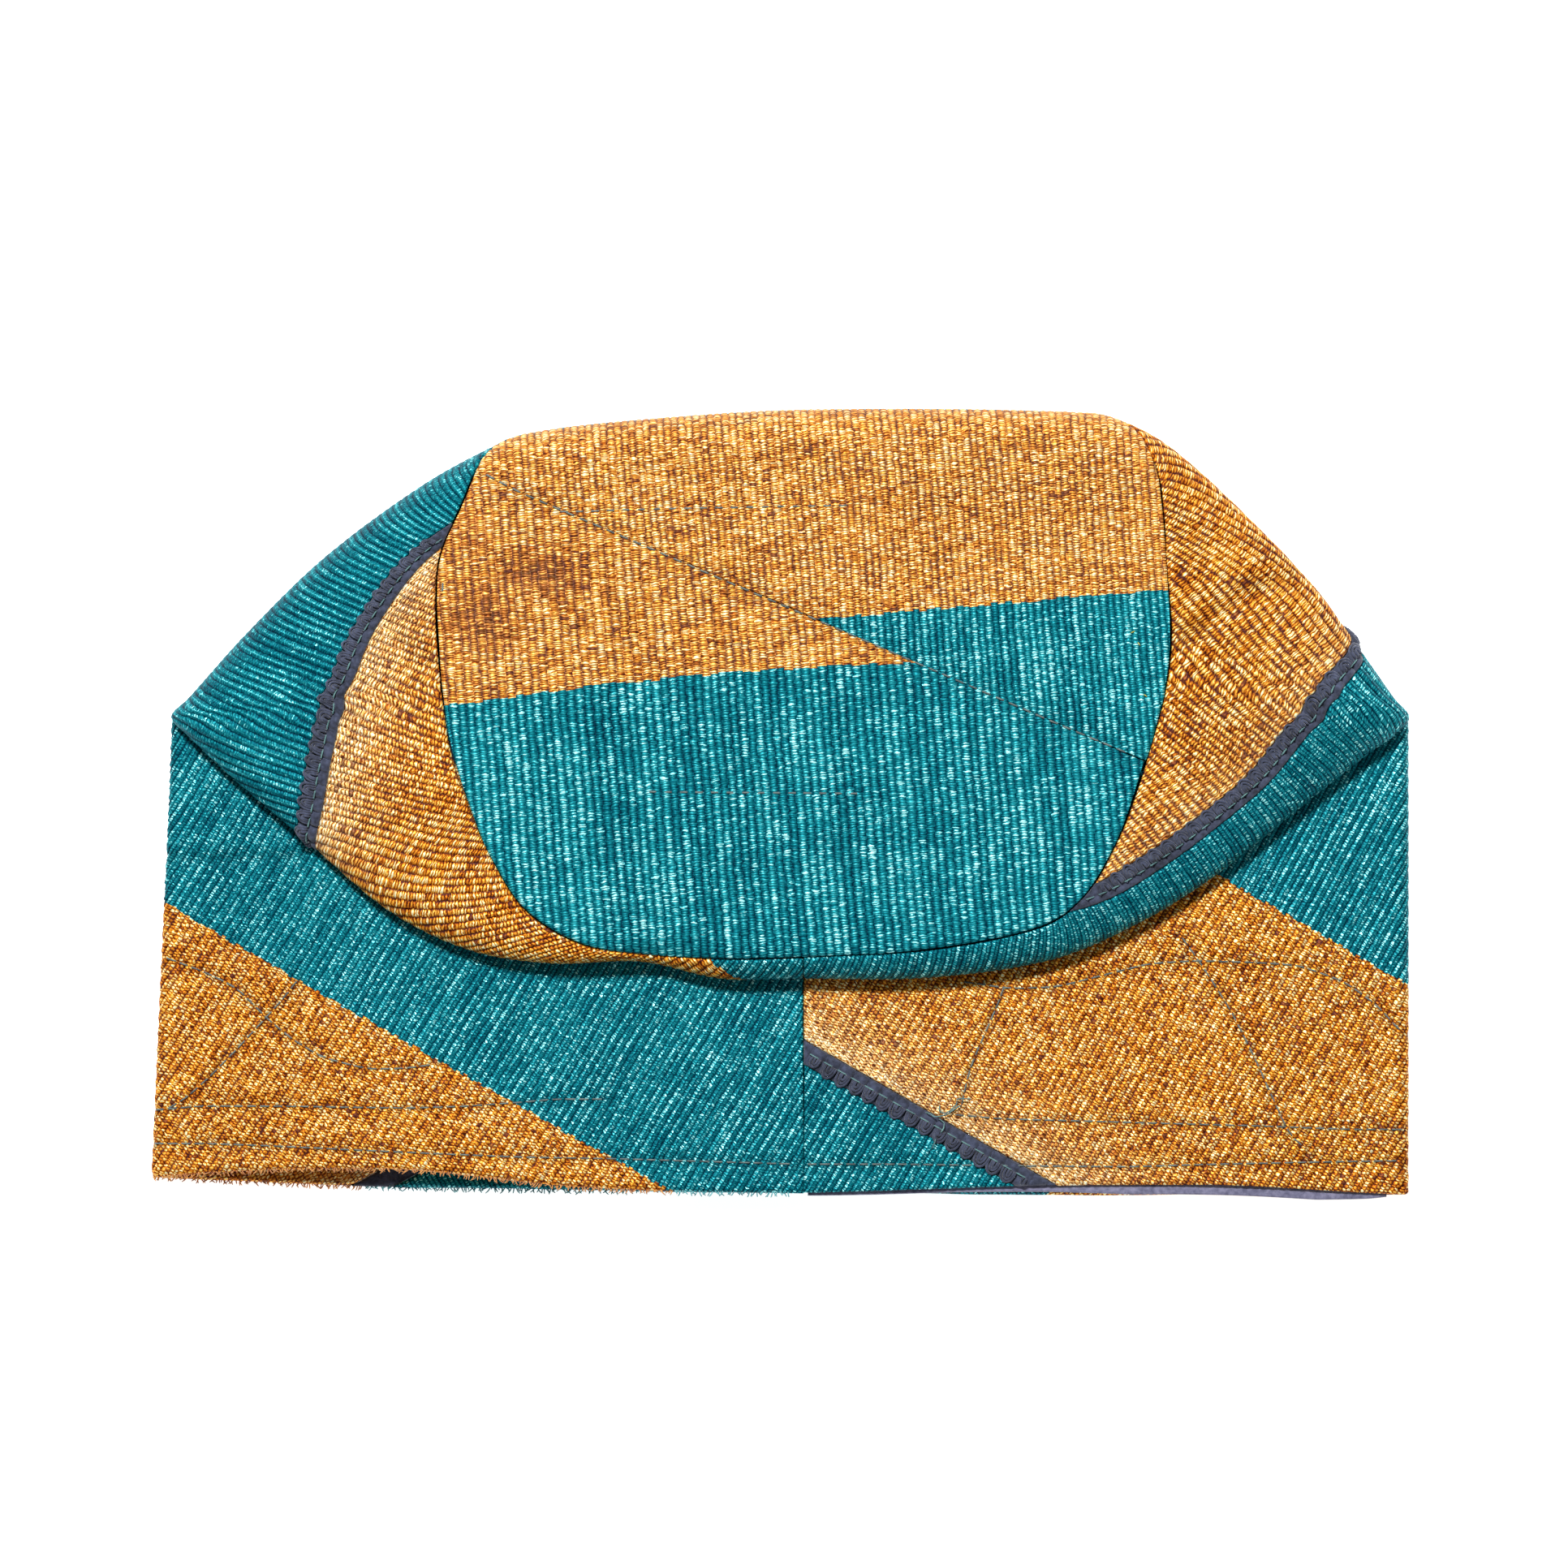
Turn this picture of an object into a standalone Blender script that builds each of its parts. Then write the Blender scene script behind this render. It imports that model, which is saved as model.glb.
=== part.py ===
# A cap of aso-oke cloth, lying on a table as it is put away. Its wall is a tube of woven strips,
# cut on the slant and joined edge to edge. The upper part of the tube is folded down over the
# front, so that the oval crown faces up. +Y is the crown's end, -Y is the mouth for the head.

import math
from collections import namedtuple

import bmesh
import bpy
import numpy as np
from mathutils import Vector

MM = 0.001

# The cloth
CLOTH = 1.6 * MM
SELVEDGE_THICKNESS = 2.2 * MM
FACING_THICKNESS = 1.0 * MM
HALF_CLOTH = CLOTH / 2
JOIN_GAP = 0.35 * MM
CROWN_GAP = 0.5 * MM

# The wall as cut: a band as long as the head is round, closed by one seam at the front
HEAD_ROUND = 580 * MM
STRIPE_SLANT = math.radians(30)
SELVEDGE_WIDTH = 4.5 * MM

# The wall laid flat, front over back
RIGHT_FOLD = 141.7 * MM
LEFT_FOLD = 432.6 * MM
SIDE_RADIUS = 2.2 * MM
SEAM_X = 5.7 * MM
RIGHT_X = 147.4 * MM
LEFT_X_AT_HEM = -147.2 * MM
LEFT_X_AT_FOLD = -142.3 * MM
HEM_LINE = -91.2 * MM
DOWN_FOLD_Y = 20.2 * MM
DOWN_FOLD_RADIUS = 1.35 * MM
FRONT_PUFF = 4.6 * MM
FRONT_PUFF_REACH = 45 * MM

# The upper part, lying on the front with the crown up
TOP_HEIGHT = 21.5 * MM
CROWN_DOME = 0.7 * MM
CROWN_REACH = 110 * MM
CROWN_CENTRE = Vector((5.7, 26.0)) * MM
PUFF_POWER = 2.3

# Its edge, where the cloth rolls over: how far in the roll starts, and how high its outermost
# line lies. The rolls are tightest at the two corners, where the folds meet.
FRONT_ROLL = 3.0 * MM
BACK_ROLL = 3.9 * MM
CORNER_ROLL_RISE = 1.5 * MM
FRONT_ROLL_RISE = 3.9 * MM
BACK_ROLL_RISE = 3.0 * MM
FRONT_ROLL_SPARE = 2.0 * MM
BACK_ROLL_SPARE = 6.0 * MM
CORNER_REACH = 80 * MM
CORNER_EASE = 6 * MM
LEAST_ROLL = 1.5 * MM
BACK_DRIFT_POWER = 4

# Sections round the cap, in millimetres. round: along the hem from the front seam, to the right
# seen from outside. edge: where the cloth turns over. seam: where it is sewn to the crown.
# puff: how far in from the edge the top reaches its full height.
Section = namedtuple("Section", "round edge_x edge_y seam_x seam_y puff")
SECTIONS = (
    Section(0.0, 5.7, -41.2, 5.7, -36.0, 9),
    Section(28.5, 34.2, -41.0, 32.0, -34.6, 9),
    Section(57.0, 62.8, -37.0, 59.5, -29.4, 12),
    Section(76.1, 81.8, -29.4, 71.0, -22.0, 18),
    Section(95.1, 100.8, -18.0, 79.0, -8.5, 26),
    Section(114.1, 119.8, -2.9, 84.5, 7.0, 38),
    Section(133.1, 138.3, 11.6, 89.2, 23.0, 52),
    Section(138.5, 143.9, 15.6, 90.2, 28.0, 57),
    Section(141.7, 147.4, 19.8, 90.9, 32.5, 59),
    Section(145.1, 144.1, 24.1, 91.2, 36.5, 56),
    Section(152.1, 137.3, 33.6, 91.2, 43.5, 50),
    Section(163.5, 125.9, 49.5, 90.3, 55.0, 42),
    Section(182.6, 106.9, 69.3, 89.3, 68.0, 26),
    Section(197.8, 91.7, 82.8, 87.3, 79.0, 16),
    Section(207.3, 82.1, 88.3, 81.9, 87.9, 12),
    Section(216.8, 72.6, 91.0, 72.6, 91.0, 10),
    Section(281.8, 7.6, 91.8, 7.6, 91.8, 10),
    Section(319.9, -30.4, 89.6, -30.4, 89.6, 10),
    Section(348.4, -59.0, 86.2, -59.0, 86.2, 11),
    Section(357.0, -67.6, 82.8, -67.3, 82.4, 13),
    Section(373.1, -83.7, 73.9, -73.5, 70.0, 20),
    Section(395.9, -106.5, 57.1, -79.0, 56.8, 32),
    Section(414.0, -124.6, 39.5, -79.8, 43.5, 48),
    Section(428.8, -138.4, 24.1, -78.9, 30.5, 60),
    Section(432.6, -142.2, 20.0, -78.5, 26.5, 64),
    Section(436.0, -138.6, 15.9, -78.0, 22.5, 60),
    Section(446.9, -127.4, 5.4, -76.3, 12.1, 50),
    Section(463.0, -111.2, -8.3, -72.3, -0.3, 38),
    Section(483.0, -91.3, -25.2, -67.0, -12.5, 25),
    Section(502.0, -72.3, -34.5, -59.0, -25.0, 16),
    Section(521.0, -53.2, -37.6, -46.0, -33.0, 11),
    Section(542.0, -32.3, -37.2, -30.4, -35.3, 9),
    Section(561.0, -13.3, -41.2, -12.7, -36.4, 9),
)

# How far the hem lies below or above its line, in millimetres, at places round it
Hem = namedtuple("Hem", "round rise")
HEM = (
    Hem(0, 0.0),
    Hem(57, 1.7),
    Hem(98, 1.7),
    Hem(141.7, -0.5),
    Hem(240, -0.6),
    Hem(380, 1.2),
    Hem(432.6, 3.6),
    Hem(462, 5.3),
    Hem(492, 5.3),
    Hem(530, 1.3),
)

# Creases pressed into the upper part, in millimetres
Crease = namedtuple("Crease", "from_x from_y to_x to_y depth width")
CREASES = (
    Crease(91.0, 37.0, 121.0, 54.0, 1.1, 5.0),
    Crease(-70.0, 76.0, 84.0, 10.5, 0.4, 3.0),
    Crease(-80.0, 40.0, -103.0, 22.0, 0.8, 7.0),
)

# The strips of the wall and the selvedges between them. Both are bands across the slant, from
# one distance to another, square to the stripes, from the foot of the front seam.
Band = namedtuple("Band", "name start end thickness colour")
FIRST_JOIN = 28.5 * MM
SECOND_JOIN = 191.6 * MM
THIRD_JOIN = 354.0 * MM
TEAL = (0.01, 0.22, 0.24)
GOLD = (0.62, 0.30, 0.06)
SLATE = (0.06, 0.07, 0.12)
DEEP_TEAL = (0.01, 0.16, 0.19)
PALE_GOLD = (0.72, 0.42, 0.14)


def between(first_join, second_join):
    # A strip's two sides: half a selvedge and the gap away from each join
    margin = SELVEDGE_WIDTH / 2 + JOIN_GAP
    start = -HEAD_ROUND if first_join is None else first_join + margin
    end = HEAD_ROUND if second_join is None else second_join - margin
    return start, end


def on_join(join):
    return join - SELVEDGE_WIDTH / 2, join + SELVEDGE_WIDTH / 2


BANDS = (
    Band("wall_strip_1", *between(None, FIRST_JOIN), CLOTH, TEAL),
    Band("selvedge_1", *on_join(FIRST_JOIN), SELVEDGE_THICKNESS, SLATE),
    Band("wall_strip_2", *between(FIRST_JOIN, SECOND_JOIN), CLOTH, GOLD),
    Band("selvedge_2", *on_join(SECOND_JOIN), SELVEDGE_THICKNESS, SLATE),
    Band("wall_strip_3", *between(SECOND_JOIN, THIRD_JOIN), CLOTH, PALE_GOLD),
    Band("selvedge_3", *on_join(THIRD_JOIN), SELVEDGE_THICKNESS, SLATE),
    Band("wall_strip_4", *between(THIRD_JOIN, None), CLOTH, DEEP_TEAL),
)

# The join between the crown's two strips
CROWN_JOIN_START = Vector((-69.6, 76.5)) * MM
CROWN_JOIN_END = Vector((83.7, 10.2)) * MM

# The facing inside the hem, seen below the front right half
FACING_START = 1.0 * MM
FACING_END = 136 * MM
FACING_DEPTH = 12 * MM
FACING_SHOWS = 0.7 * MM

# How finely each stretch of the cloth is divided
OUTLINE_STEP = 0.5 * MM
NO_WIDTH = 0.2 * MM
FRONT_COLUMNS = 13
SIDE_COLUMNS = 4
BACK_COLUMNS = 26
LOWER_ROWS = 6
FOLD_ROWS = 4
UNDER_ROWS = 4
ROLL_ROWS = 3
UPPER_ROWS = 7
ROW_CROWDING = 1.6
BACK_ROW_SHARES = (0.35, 0.6, 0.8)
CROWN_RINGS = 8
RING_CROWDING = 1.9
ARC_POINTS = 9
LAYER_POINTS = 12


def closed_curve(at, places, values):
    # A smooth closed curve through the values, which repeats after once round the head
    places = np.concatenate((places[-2:] - HEAD_ROUND, places, places[:2] + HEAD_ROUND))
    values = np.concatenate((values[-2:], values, values[:2]))
    at = at % HEAD_ROUND
    i = int(np.searchsorted(places, at, side="right")) - 1
    i = min(max(i, 1), len(places) - 3)
    step = places[i + 1] - places[i]
    slope_a = (values[i + 1] - values[i - 1]) / (places[i + 1] - places[i - 1]) * step
    slope_b = (values[i + 2] - values[i]) / (places[i + 2] - places[i]) * step
    t = (at - places[i]) / step
    return (values[i] * (1 + 2 * t) * (1 - t) ** 2 + slope_a * t * (1 - t) ** 2
            + values[i + 1] * t * t * (3 - 2 * t) - slope_b * t * t * (1 - t))


def table_column(table, name):
    return np.array([getattr(row, name) for row in table]) * MM


SECTION_PLACES = table_column(SECTIONS, "round")
SECTION_COLUMNS = {name: table_column(SECTIONS, name) for name in Section._fields}
HEM_PLACES = table_column(HEM, "round")
HEM_RISES = table_column(HEM, "rise")


def section(name, place):
    return float(closed_curve(place, SECTION_PLACES, SECTION_COLUMNS[name]))


def smooth_step(t):
    t = min(max(t, 0.0), 1.0)
    return t * t * (3 - 2 * t)


def outline(place):
    return Vector((section("edge_x", place), section("edge_y", place)))


def inward(place):
    # Square to the outline, towards the crown
    along = outline(place + OUTLINE_STEP) - outline(place - OUTLINE_STEP)
    return Vector((-along.y, along.x)).normalized()


def corner_distance(place):
    place = place % HEAD_ROUND
    return min(abs(place - RIGHT_FOLD), abs(place - LEFT_FOLD))


def is_front(place):
    place = place % HEAD_ROUND
    return place < RIGHT_FOLD or place > LEFT_FOLD


def edge_x_on_left(y):
    t = (y - HEM_LINE) / (DOWN_FOLD_Y - HEM_LINE)
    return LEFT_X_AT_HEM + (LEFT_X_AT_FOLD - LEFT_X_AT_HEM) * min(max(t, 0.0), 1.0)


def lower_layer(place, y):
    # Where the tube's cloth lies below the fold: x and z of the middle of its thickness
    bend = SIDE_RADIUS * math.pi / 2
    right_centre = RIGHT_X - HALF_CLOTH - SIDE_RADIUS
    left_centre = edge_x_on_left(y) + HALF_CLOTH + SIDE_RADIUS
    floor_z = HALF_CLOTH
    side_z = HALF_CLOTH + SIDE_RADIUS
    if abs(place - RIGHT_FOLD) < bend:
        angle = (RIGHT_FOLD - place) / SIDE_RADIUS
        return right_centre + SIDE_RADIUS * math.cos(angle), side_z + SIDE_RADIUS * math.sin(angle)
    if abs(place - LEFT_FOLD) < bend:
        angle = (place - LEFT_FOLD) / SIDE_RADIUS
        return left_centre - SIDE_RADIUS * math.cos(angle), side_z + SIDE_RADIUS * math.sin(angle)
    if RIGHT_FOLD < place < LEFT_FOLD:
        t = (place - RIGHT_FOLD - bend) / (LEFT_FOLD - RIGHT_FOLD - 2 * bend)
        return right_centre + (left_centre - right_centre) * t, floor_z
    if place < RIGHT_FOLD:
        t = place / (RIGHT_FOLD - bend)
        x = SEAM_X + (right_centre - SEAM_X) * t
    else:
        t = (place - LEFT_FOLD - bend) / (HEAD_ROUND - LEFT_FOLD - bend)
        x = left_centre + (SEAM_X - left_centre) * t
    from_side = min(right_centre - x, x - left_centre)
    puff = FRONT_PUFF * smooth_step(from_side / FRONT_PUFF_REACH)
    return x, floor_z + 2 * SIDE_RADIUS + puff


def crease_depth(x, y):
    depth = 0.0
    for crease in CREASES:
        start = Vector((crease.from_x, crease.from_y)) * MM
        end = Vector((crease.to_x, crease.to_y)) * MM
        length = (end - start).length
        along = (end - start) / length
        offset = Vector((x, y)) - start
        past_end = max(-offset.dot(along), offset.dot(along) - length, 0.0)
        across = math.hypot(offset.x * along.y - offset.y * along.x, past_end)
        depth += crease.depth * MM * math.exp(-(across / (crease.width * MM)) ** 2)
    return depth


def apex_height(place):
    # The roll's outermost line, half way up
    away = smooth_step(corner_distance(place) / CORNER_REACH)
    if is_front(place):
        side_z = lower_layer(place % HEAD_ROUND, DOWN_FOLD_Y)[1]
        rise = CORNER_ROLL_RISE + (FRONT_ROLL_RISE - CORNER_ROLL_RISE) * away
    else:
        side_z = HALF_CLOTH + SIDE_RADIUS
        rise = CORNER_ROLL_RISE + BACK_ROLL_RISE * away
    return side_z + 2 * DOWN_FOLD_RADIUS + rise


def top_point(place, x, y, from_edge):
    # The upper surface, like a pillow: steep at its edge and level inside
    t = min(from_edge / section("puff", place), 1.0)
    fullness = (1 - (1 - t) ** PUFF_POWER) ** (1 / PUFF_POWER)
    middle = min((Vector((x, y)) - CROWN_CENTRE).length / CROWN_REACH, 1.0)
    height = TOP_HEIGHT - HALF_CLOTH + CROWN_DOME * (1 - middle ** 2)
    apex = apex_height(place)
    dip = crease_depth(x, y) * fullness
    return (x, y, apex + (height - apex) * fullness - dip)


def edge_and_seam(place):
    # The middle of the cloth's thickness at the roll's outermost line and at the crown seam
    edge = outline(place)
    seam = Vector((section("seam_x", place), section("seam_y", place)))
    inset = inward(place) * HALF_CLOTH
    share = max(1 - (seam - edge).length / FRONT_ROLL, 0.0)
    return edge + inset, seam + inset * share


def arc(start_angle, end_angle):
    return np.linspace(math.radians(start_angle), math.radians(end_angle), ARC_POINTS)


def wall_profile(place):
    # The line that one thread makes from the hem to the crown, with each point's height on the
    # flat cloth, and the heights where it starts or ends a fold
    edge, seam = edge_and_seam(place)
    n = inward(place)
    hem_y = HEM_LINE + float(closed_curve(place, HEM_PLACES, HEM_RISES))
    apex = apex_height(place)
    away = smooth_step(corner_distance(place) / CORNER_REACH)
    points = []
    heights = []
    if is_front(place):
        spare = DOWN_FOLD_Y - edge.y
        ease = smooth_step(spare / CORNER_EASE)
        fold_x, low = lower_layer(place, DOWN_FOLD_Y)
        fold_out = DOWN_FOLD_RADIUS * ease
        centre_y = DOWN_FOLD_Y - fold_out
        for y in np.linspace(hem_y, centre_y, LAYER_POINTS):
            x, z = lower_layer(place, y)
            points.append((x, y, z))
            heights.append(y - HEM_LINE)
        for angle in arc(-90, 90):
            points.append((fold_x, centre_y + fold_out * math.cos(angle),
                           low + DOWN_FOLD_RADIUS * (1 + math.sin(angle))))
            heights.append(DOWN_FOLD_Y - HEM_LINE + fold_out * math.sin(angle))
        fold_ends = [centre_y - HEM_LINE, DOWN_FOLD_Y - HEM_LINE + fold_out]
        roll_low = low + 2 * DOWN_FOLD_RADIUS
        roll_out = FRONT_ROLL * ease
        apex_place = DOWN_FOLD_Y - HEM_LINE + spare + FRONT_ROLL_SPARE * away
    else:
        roll_out = BACK_ROLL * smooth_step(corner_distance(place) / (2 * CORNER_EASE))
        start = edge + n * roll_out
        for y in np.linspace(hem_y, start.y, LAYER_POINTS):
            x, roll_low = lower_layer(place, y)
            t = (y - hem_y) / (start.y - hem_y)
            points.append((x + (start.x - x) * t ** BACK_DRIFT_POWER, y, roll_low))
            heights.append(y - HEM_LINE)
        fold_ends = []
        apex_place = edge.y - HEM_LINE + BACK_ROLL_SPARE * away
    roll_start = max(apex_place - max(roll_out, LEAST_ROLL), heights[-1])
    for angle in arc(-90, 0):
        inset = n * roll_out * (1 - math.cos(angle))
        points.append((edge.x + inset.x, edge.y + inset.y,
                       apex + (apex - roll_low) * math.sin(angle)))
        t = angle / math.radians(90) + 1
        heights.append(roll_start + (apex_place - roll_start) * t)
    width = (seam - edge).length
    if width > NO_WIDTH:
        for t in np.linspace(0, 1, 2 * ARC_POINTS)[1:] ** 2:
            spot = edge + (seam - edge) * t
            points.append(top_point(place, spot.x, spot.y, width * t))
            step = Vector(points[-1]) - Vector(points[-2])
            heights.append(heights[-1] + step.length)
    stations = [heights[0], *fold_ends, roll_start, apex_place, heights[-1]]
    return np.array(points), np.array(heights), stations


profiles = {}


def profile_at(place):
    if place not in profiles:
        profiles[place] = wall_profile(place)
    return profiles[place]


def fold_up(place, height):
    # The flat cloth's point goes to its place on the folded cap
    points, heights, _ = profile_at(place)
    return Vector([float(np.interp(height, heights, points[:, axis])) for axis in range(3)])


def column_places():
    bend = SIDE_RADIUS * math.pi / 2
    stretches = (
        (JOIN_GAP / 2, RIGHT_FOLD - bend, FRONT_COLUMNS),
        (RIGHT_FOLD - bend, RIGHT_FOLD + bend, SIDE_COLUMNS),
        (RIGHT_FOLD + bend, LEFT_FOLD - bend, BACK_COLUMNS),
        (LEFT_FOLD - bend, LEFT_FOLD + bend, SIDE_COLUMNS),
        (LEFT_FOLD + bend, HEAD_ROUND - JOIN_GAP / 2, FRONT_COLUMNS),
    )
    places = [stretches[0][0]]
    for start, end, count in stretches:
        places += list(np.linspace(start, end, count + 1)[1:])
    return places


def row_heights(place):
    # Rows of the grid: close together where the cloth folds, and as many in every column
    stations = profile_at(place)[2]
    hem, roll_start, apex, seam = stations[0], *stations[-3:]
    top = seam - CROWN_GAP / 2
    if is_front(place):
        fold_start, fold_end = stations[1:3]
    else:
        fold_start = roll_start
        fold_end, roll_start, apex = (
            fold_start + (min(apex, top) - fold_start) * share for share in BACK_ROW_SHARES)
    rows = [hem]
    for start, end, count, crowd in (
            (hem, fold_start, LOWER_ROWS, 1.0),
            (fold_start, fold_end, FOLD_ROWS, 1.0),
            (fold_end, roll_start, UNDER_ROWS, 1.0),
            (roll_start, apex, ROLL_ROWS, 1.0),
            (apex, top, UPPER_ROWS, ROW_CROWDING)):
        steps = np.linspace(0, 1, count + 1)[1:] ** crowd
        rows += list(start + (end - start) * steps)
    return rows


def grid_faces(mesh, rows_of_vertices, cyclic=False):
    count = len(rows_of_vertices)
    for i in range(count if cyclic else count - 1):
        left, right = rows_of_vertices[i], rows_of_vertices[(i + 1) % count]
        for j in range(len(left) - 1):
            mesh.faces.new((left[j], right[j], right[j + 1], left[j + 1]))


def flat_wall():
    # The wall as it lies on the cutting table: x runs along the hem and y up the wall
    mesh = bmesh.new()
    columns = []
    for place in column_places():
        columns.append([mesh.verts.new((place, height, 0)) for height in row_heights(place)])
    grid_faces(mesh, columns)
    return mesh


def cut_away(mesh, point, direction):
    # Scissors: what lies on the direction's side of the line goes
    everything = mesh.verts[:] + mesh.edges[:] + mesh.faces[:]
    bmesh.ops.bisect_plane(mesh, geom=everything, dist=0.01 * MM, plane_co=point,
                           plane_no=direction, clear_outer=True)


def cloth_object(name, mesh, thickness, colour, collection):
    bmesh.ops.remove_doubles(mesh, verts=mesh.verts[:], dist=0.02 * MM)
    bmesh.ops.recalc_face_normals(mesh, faces=mesh.faces[:])
    data = bpy.data.meshes.new(name)
    mesh.to_mesh(data)
    mesh.free()
    sheet = bpy.data.objects.new(name, data)
    collection.objects.link(sheet)
    solidify = sheet.modifiers.new("thickness", "SOLIDIFY")
    solidify.thickness = thickness
    solidify.offset = 0.0
    solidify.use_quality_normals = True
    solidify.use_even_offset = False
    press_on_table(sheet)
    sheet.data.materials.append(cloth_material(name, colour))
    return sheet


def press_on_table(sheet):
    # A selvedge is thicker than the strips beside it, and is pressed level where it rests
    graph = bpy.context.evaluated_depsgraph_get()
    data = bpy.data.meshes.new_from_object(sheet.evaluated_get(graph))
    for vertex in data.vertices:
        vertex.co.z = max(vertex.co.z, 0.0)
    data.name = sheet.name
    sheet.modifiers.clear()
    sheet.data = data


def cloth_material(name, colour):
    material = bpy.data.materials.new(name)
    material.use_nodes = True
    shader = material.node_tree.nodes["Principled BSDF"]
    shader.inputs["Base Color"].default_value = (*colour, 1)
    shader.inputs["Roughness"].default_value = 0.45
    shader.inputs["Metallic"].default_value = 0.3
    return material


def wall_band(band, collection):
    across = Vector((math.sin(STRIPE_SLANT), math.cos(STRIPE_SLANT), 0))
    mesh = flat_wall()
    cut_away(mesh, across * band.start, -across)
    cut_away(mesh, across * band.end, across)
    for vertex in mesh.verts:
        vertex.co = fold_up(vertex.co.x, vertex.co.y)
    return cloth_object(band.name, mesh, band.thickness, band.colour, collection)


def crown_half(name, side, colour, collection):
    # Rings from the crown seam to the middle, cut along the join between the two strips
    mesh = bmesh.new()
    middle = mesh.verts.new(top_point(0, *CROWN_CENTRE, HEAD_ROUND))
    columns = []
    for place in column_places():
        edge, seam = edge_and_seam(place)
        width = (seam - edge).length
        to_middle = (CROWN_CENTRE - seam).length
        start = CROWN_GAP / 2 / to_middle if width > NO_WIDTH else 0.0
        rings = start + (1 - start) * np.linspace(0, 1, CROWN_RINGS + 1) ** RING_CROWDING
        column = []
        for t in rings[:-1]:
            spot = seam + (CROWN_CENTRE - seam) * t
            column.append(mesh.verts.new(top_point(place, spot.x, spot.y, width + to_middle * t)))
        columns.append(column)
    grid_faces(mesh, columns, cyclic=True)
    for i, column in enumerate(columns):
        mesh.faces.new((column[-1], columns[(i + 1) % len(columns)][-1], middle))
    along = (CROWN_JOIN_END - CROWN_JOIN_START).normalized()
    square = Vector((along.y, -along.x, 0)) * side
    point = CROWN_JOIN_START.to_3d() + square * -JOIN_GAP / 2
    cut_away(mesh, point, square)
    return cloth_object(name, mesh, CLOTH, colour, collection)


def hem_facing(collection):
    mesh = bmesh.new()
    columns = []
    below = HALF_CLOTH + JOIN_GAP + FACING_THICKNESS / 2
    for place in np.linspace(FACING_START, FACING_END, FRONT_COLUMNS + 1):
        column = []
        hem_y = HEM_LINE + float(closed_curve(place, HEM_PLACES, HEM_RISES))
        for depth in (-FACING_SHOWS, FACING_DEPTH / 2, FACING_DEPTH):
            x, z = lower_layer(place, hem_y + depth)
            column.append(mesh.verts.new((x, hem_y + depth, z - below)))
        columns.append(column)
    grid_faces(mesh, columns)
    return cloth_object("hem_facing", mesh, FACING_THICKNESS, SLATE, collection)


def main():
    for leftover in list(bpy.data.objects):
        bpy.data.objects.remove(leftover)
    cap = bpy.data.collections.new("aso_oke_cap")
    bpy.context.scene.collection.children.link(cap)
    for band in BANDS:
        wall_band(band, cap)
    crown_half("crown_strip_upper", 1, GOLD, cap)
    crown_half("crown_strip_lower", -1, TEAL, cap)
    hem_facing(cap)


main()
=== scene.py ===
import math

import bpy
import numpy as np
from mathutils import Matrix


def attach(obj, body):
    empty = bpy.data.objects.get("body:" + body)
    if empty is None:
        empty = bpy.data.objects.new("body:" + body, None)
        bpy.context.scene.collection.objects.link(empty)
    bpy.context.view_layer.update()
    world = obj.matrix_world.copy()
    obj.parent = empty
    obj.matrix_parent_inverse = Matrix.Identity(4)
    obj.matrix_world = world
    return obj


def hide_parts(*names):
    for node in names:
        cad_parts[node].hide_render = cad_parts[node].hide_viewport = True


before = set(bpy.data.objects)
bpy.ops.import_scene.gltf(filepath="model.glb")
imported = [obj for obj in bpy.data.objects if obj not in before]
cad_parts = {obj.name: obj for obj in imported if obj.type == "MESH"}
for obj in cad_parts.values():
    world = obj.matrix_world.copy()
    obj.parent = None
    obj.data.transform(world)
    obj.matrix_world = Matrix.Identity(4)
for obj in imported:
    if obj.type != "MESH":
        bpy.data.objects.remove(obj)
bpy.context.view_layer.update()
mm = 0.001
print("frame loaded:", len(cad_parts), "cloth pieces")


# The folded wall. Sizes are in millimetres, and the flat cloth is measured around (along the
# hem to the right, from the front seam) and up (height over the hem line).

cap = {
    "round": 580.0,
    "slant": 30.0,
    "half": 0.8,
    "rightFold": 141.7,
    "leftFold": 432.6,
    "sideRadius": 2.2,
    "seamX": 5.7,
    "rightX": 147.4,
    "leftXAtHem": -147.2,
    "leftXAtFold": -142.3,
    "hemLine": -91.2,
    "foldY": 20.2,
    "foldRadius": 1.35,
    "puff": 4.6,
    "puffReach": 45.0,
    "seamGap": 0.1,
    "freeShare": 0.6,     # of the room over the table, before what stands off is pressed
}

lobe = {
    "topHeight": 21.5,
    "dome": 0.7,
    "reach": 110.0,
    "centre": (5.7, 26.0),
    "power": 2.3,
    "frontRoll": 2.2,
    "backRoll": 3.9,
    "cornerRise": 1.5,
    "frontRise": 2.2,
    "backRise": 3.0,
    "frontLack": 0.5,
    "backLack": 1.1,
    "cornerLack": 2.0,
    "cornerReach": 80.0,
    "cornerEase": 6.0,
    "mergedBelow": 0.12,
    "mergeReach": 0.25,
}

# points along each part of an upright thread
samples = {"front": 40, "fold": 17, "back": 60, "roll": 12, "top": 28}

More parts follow.
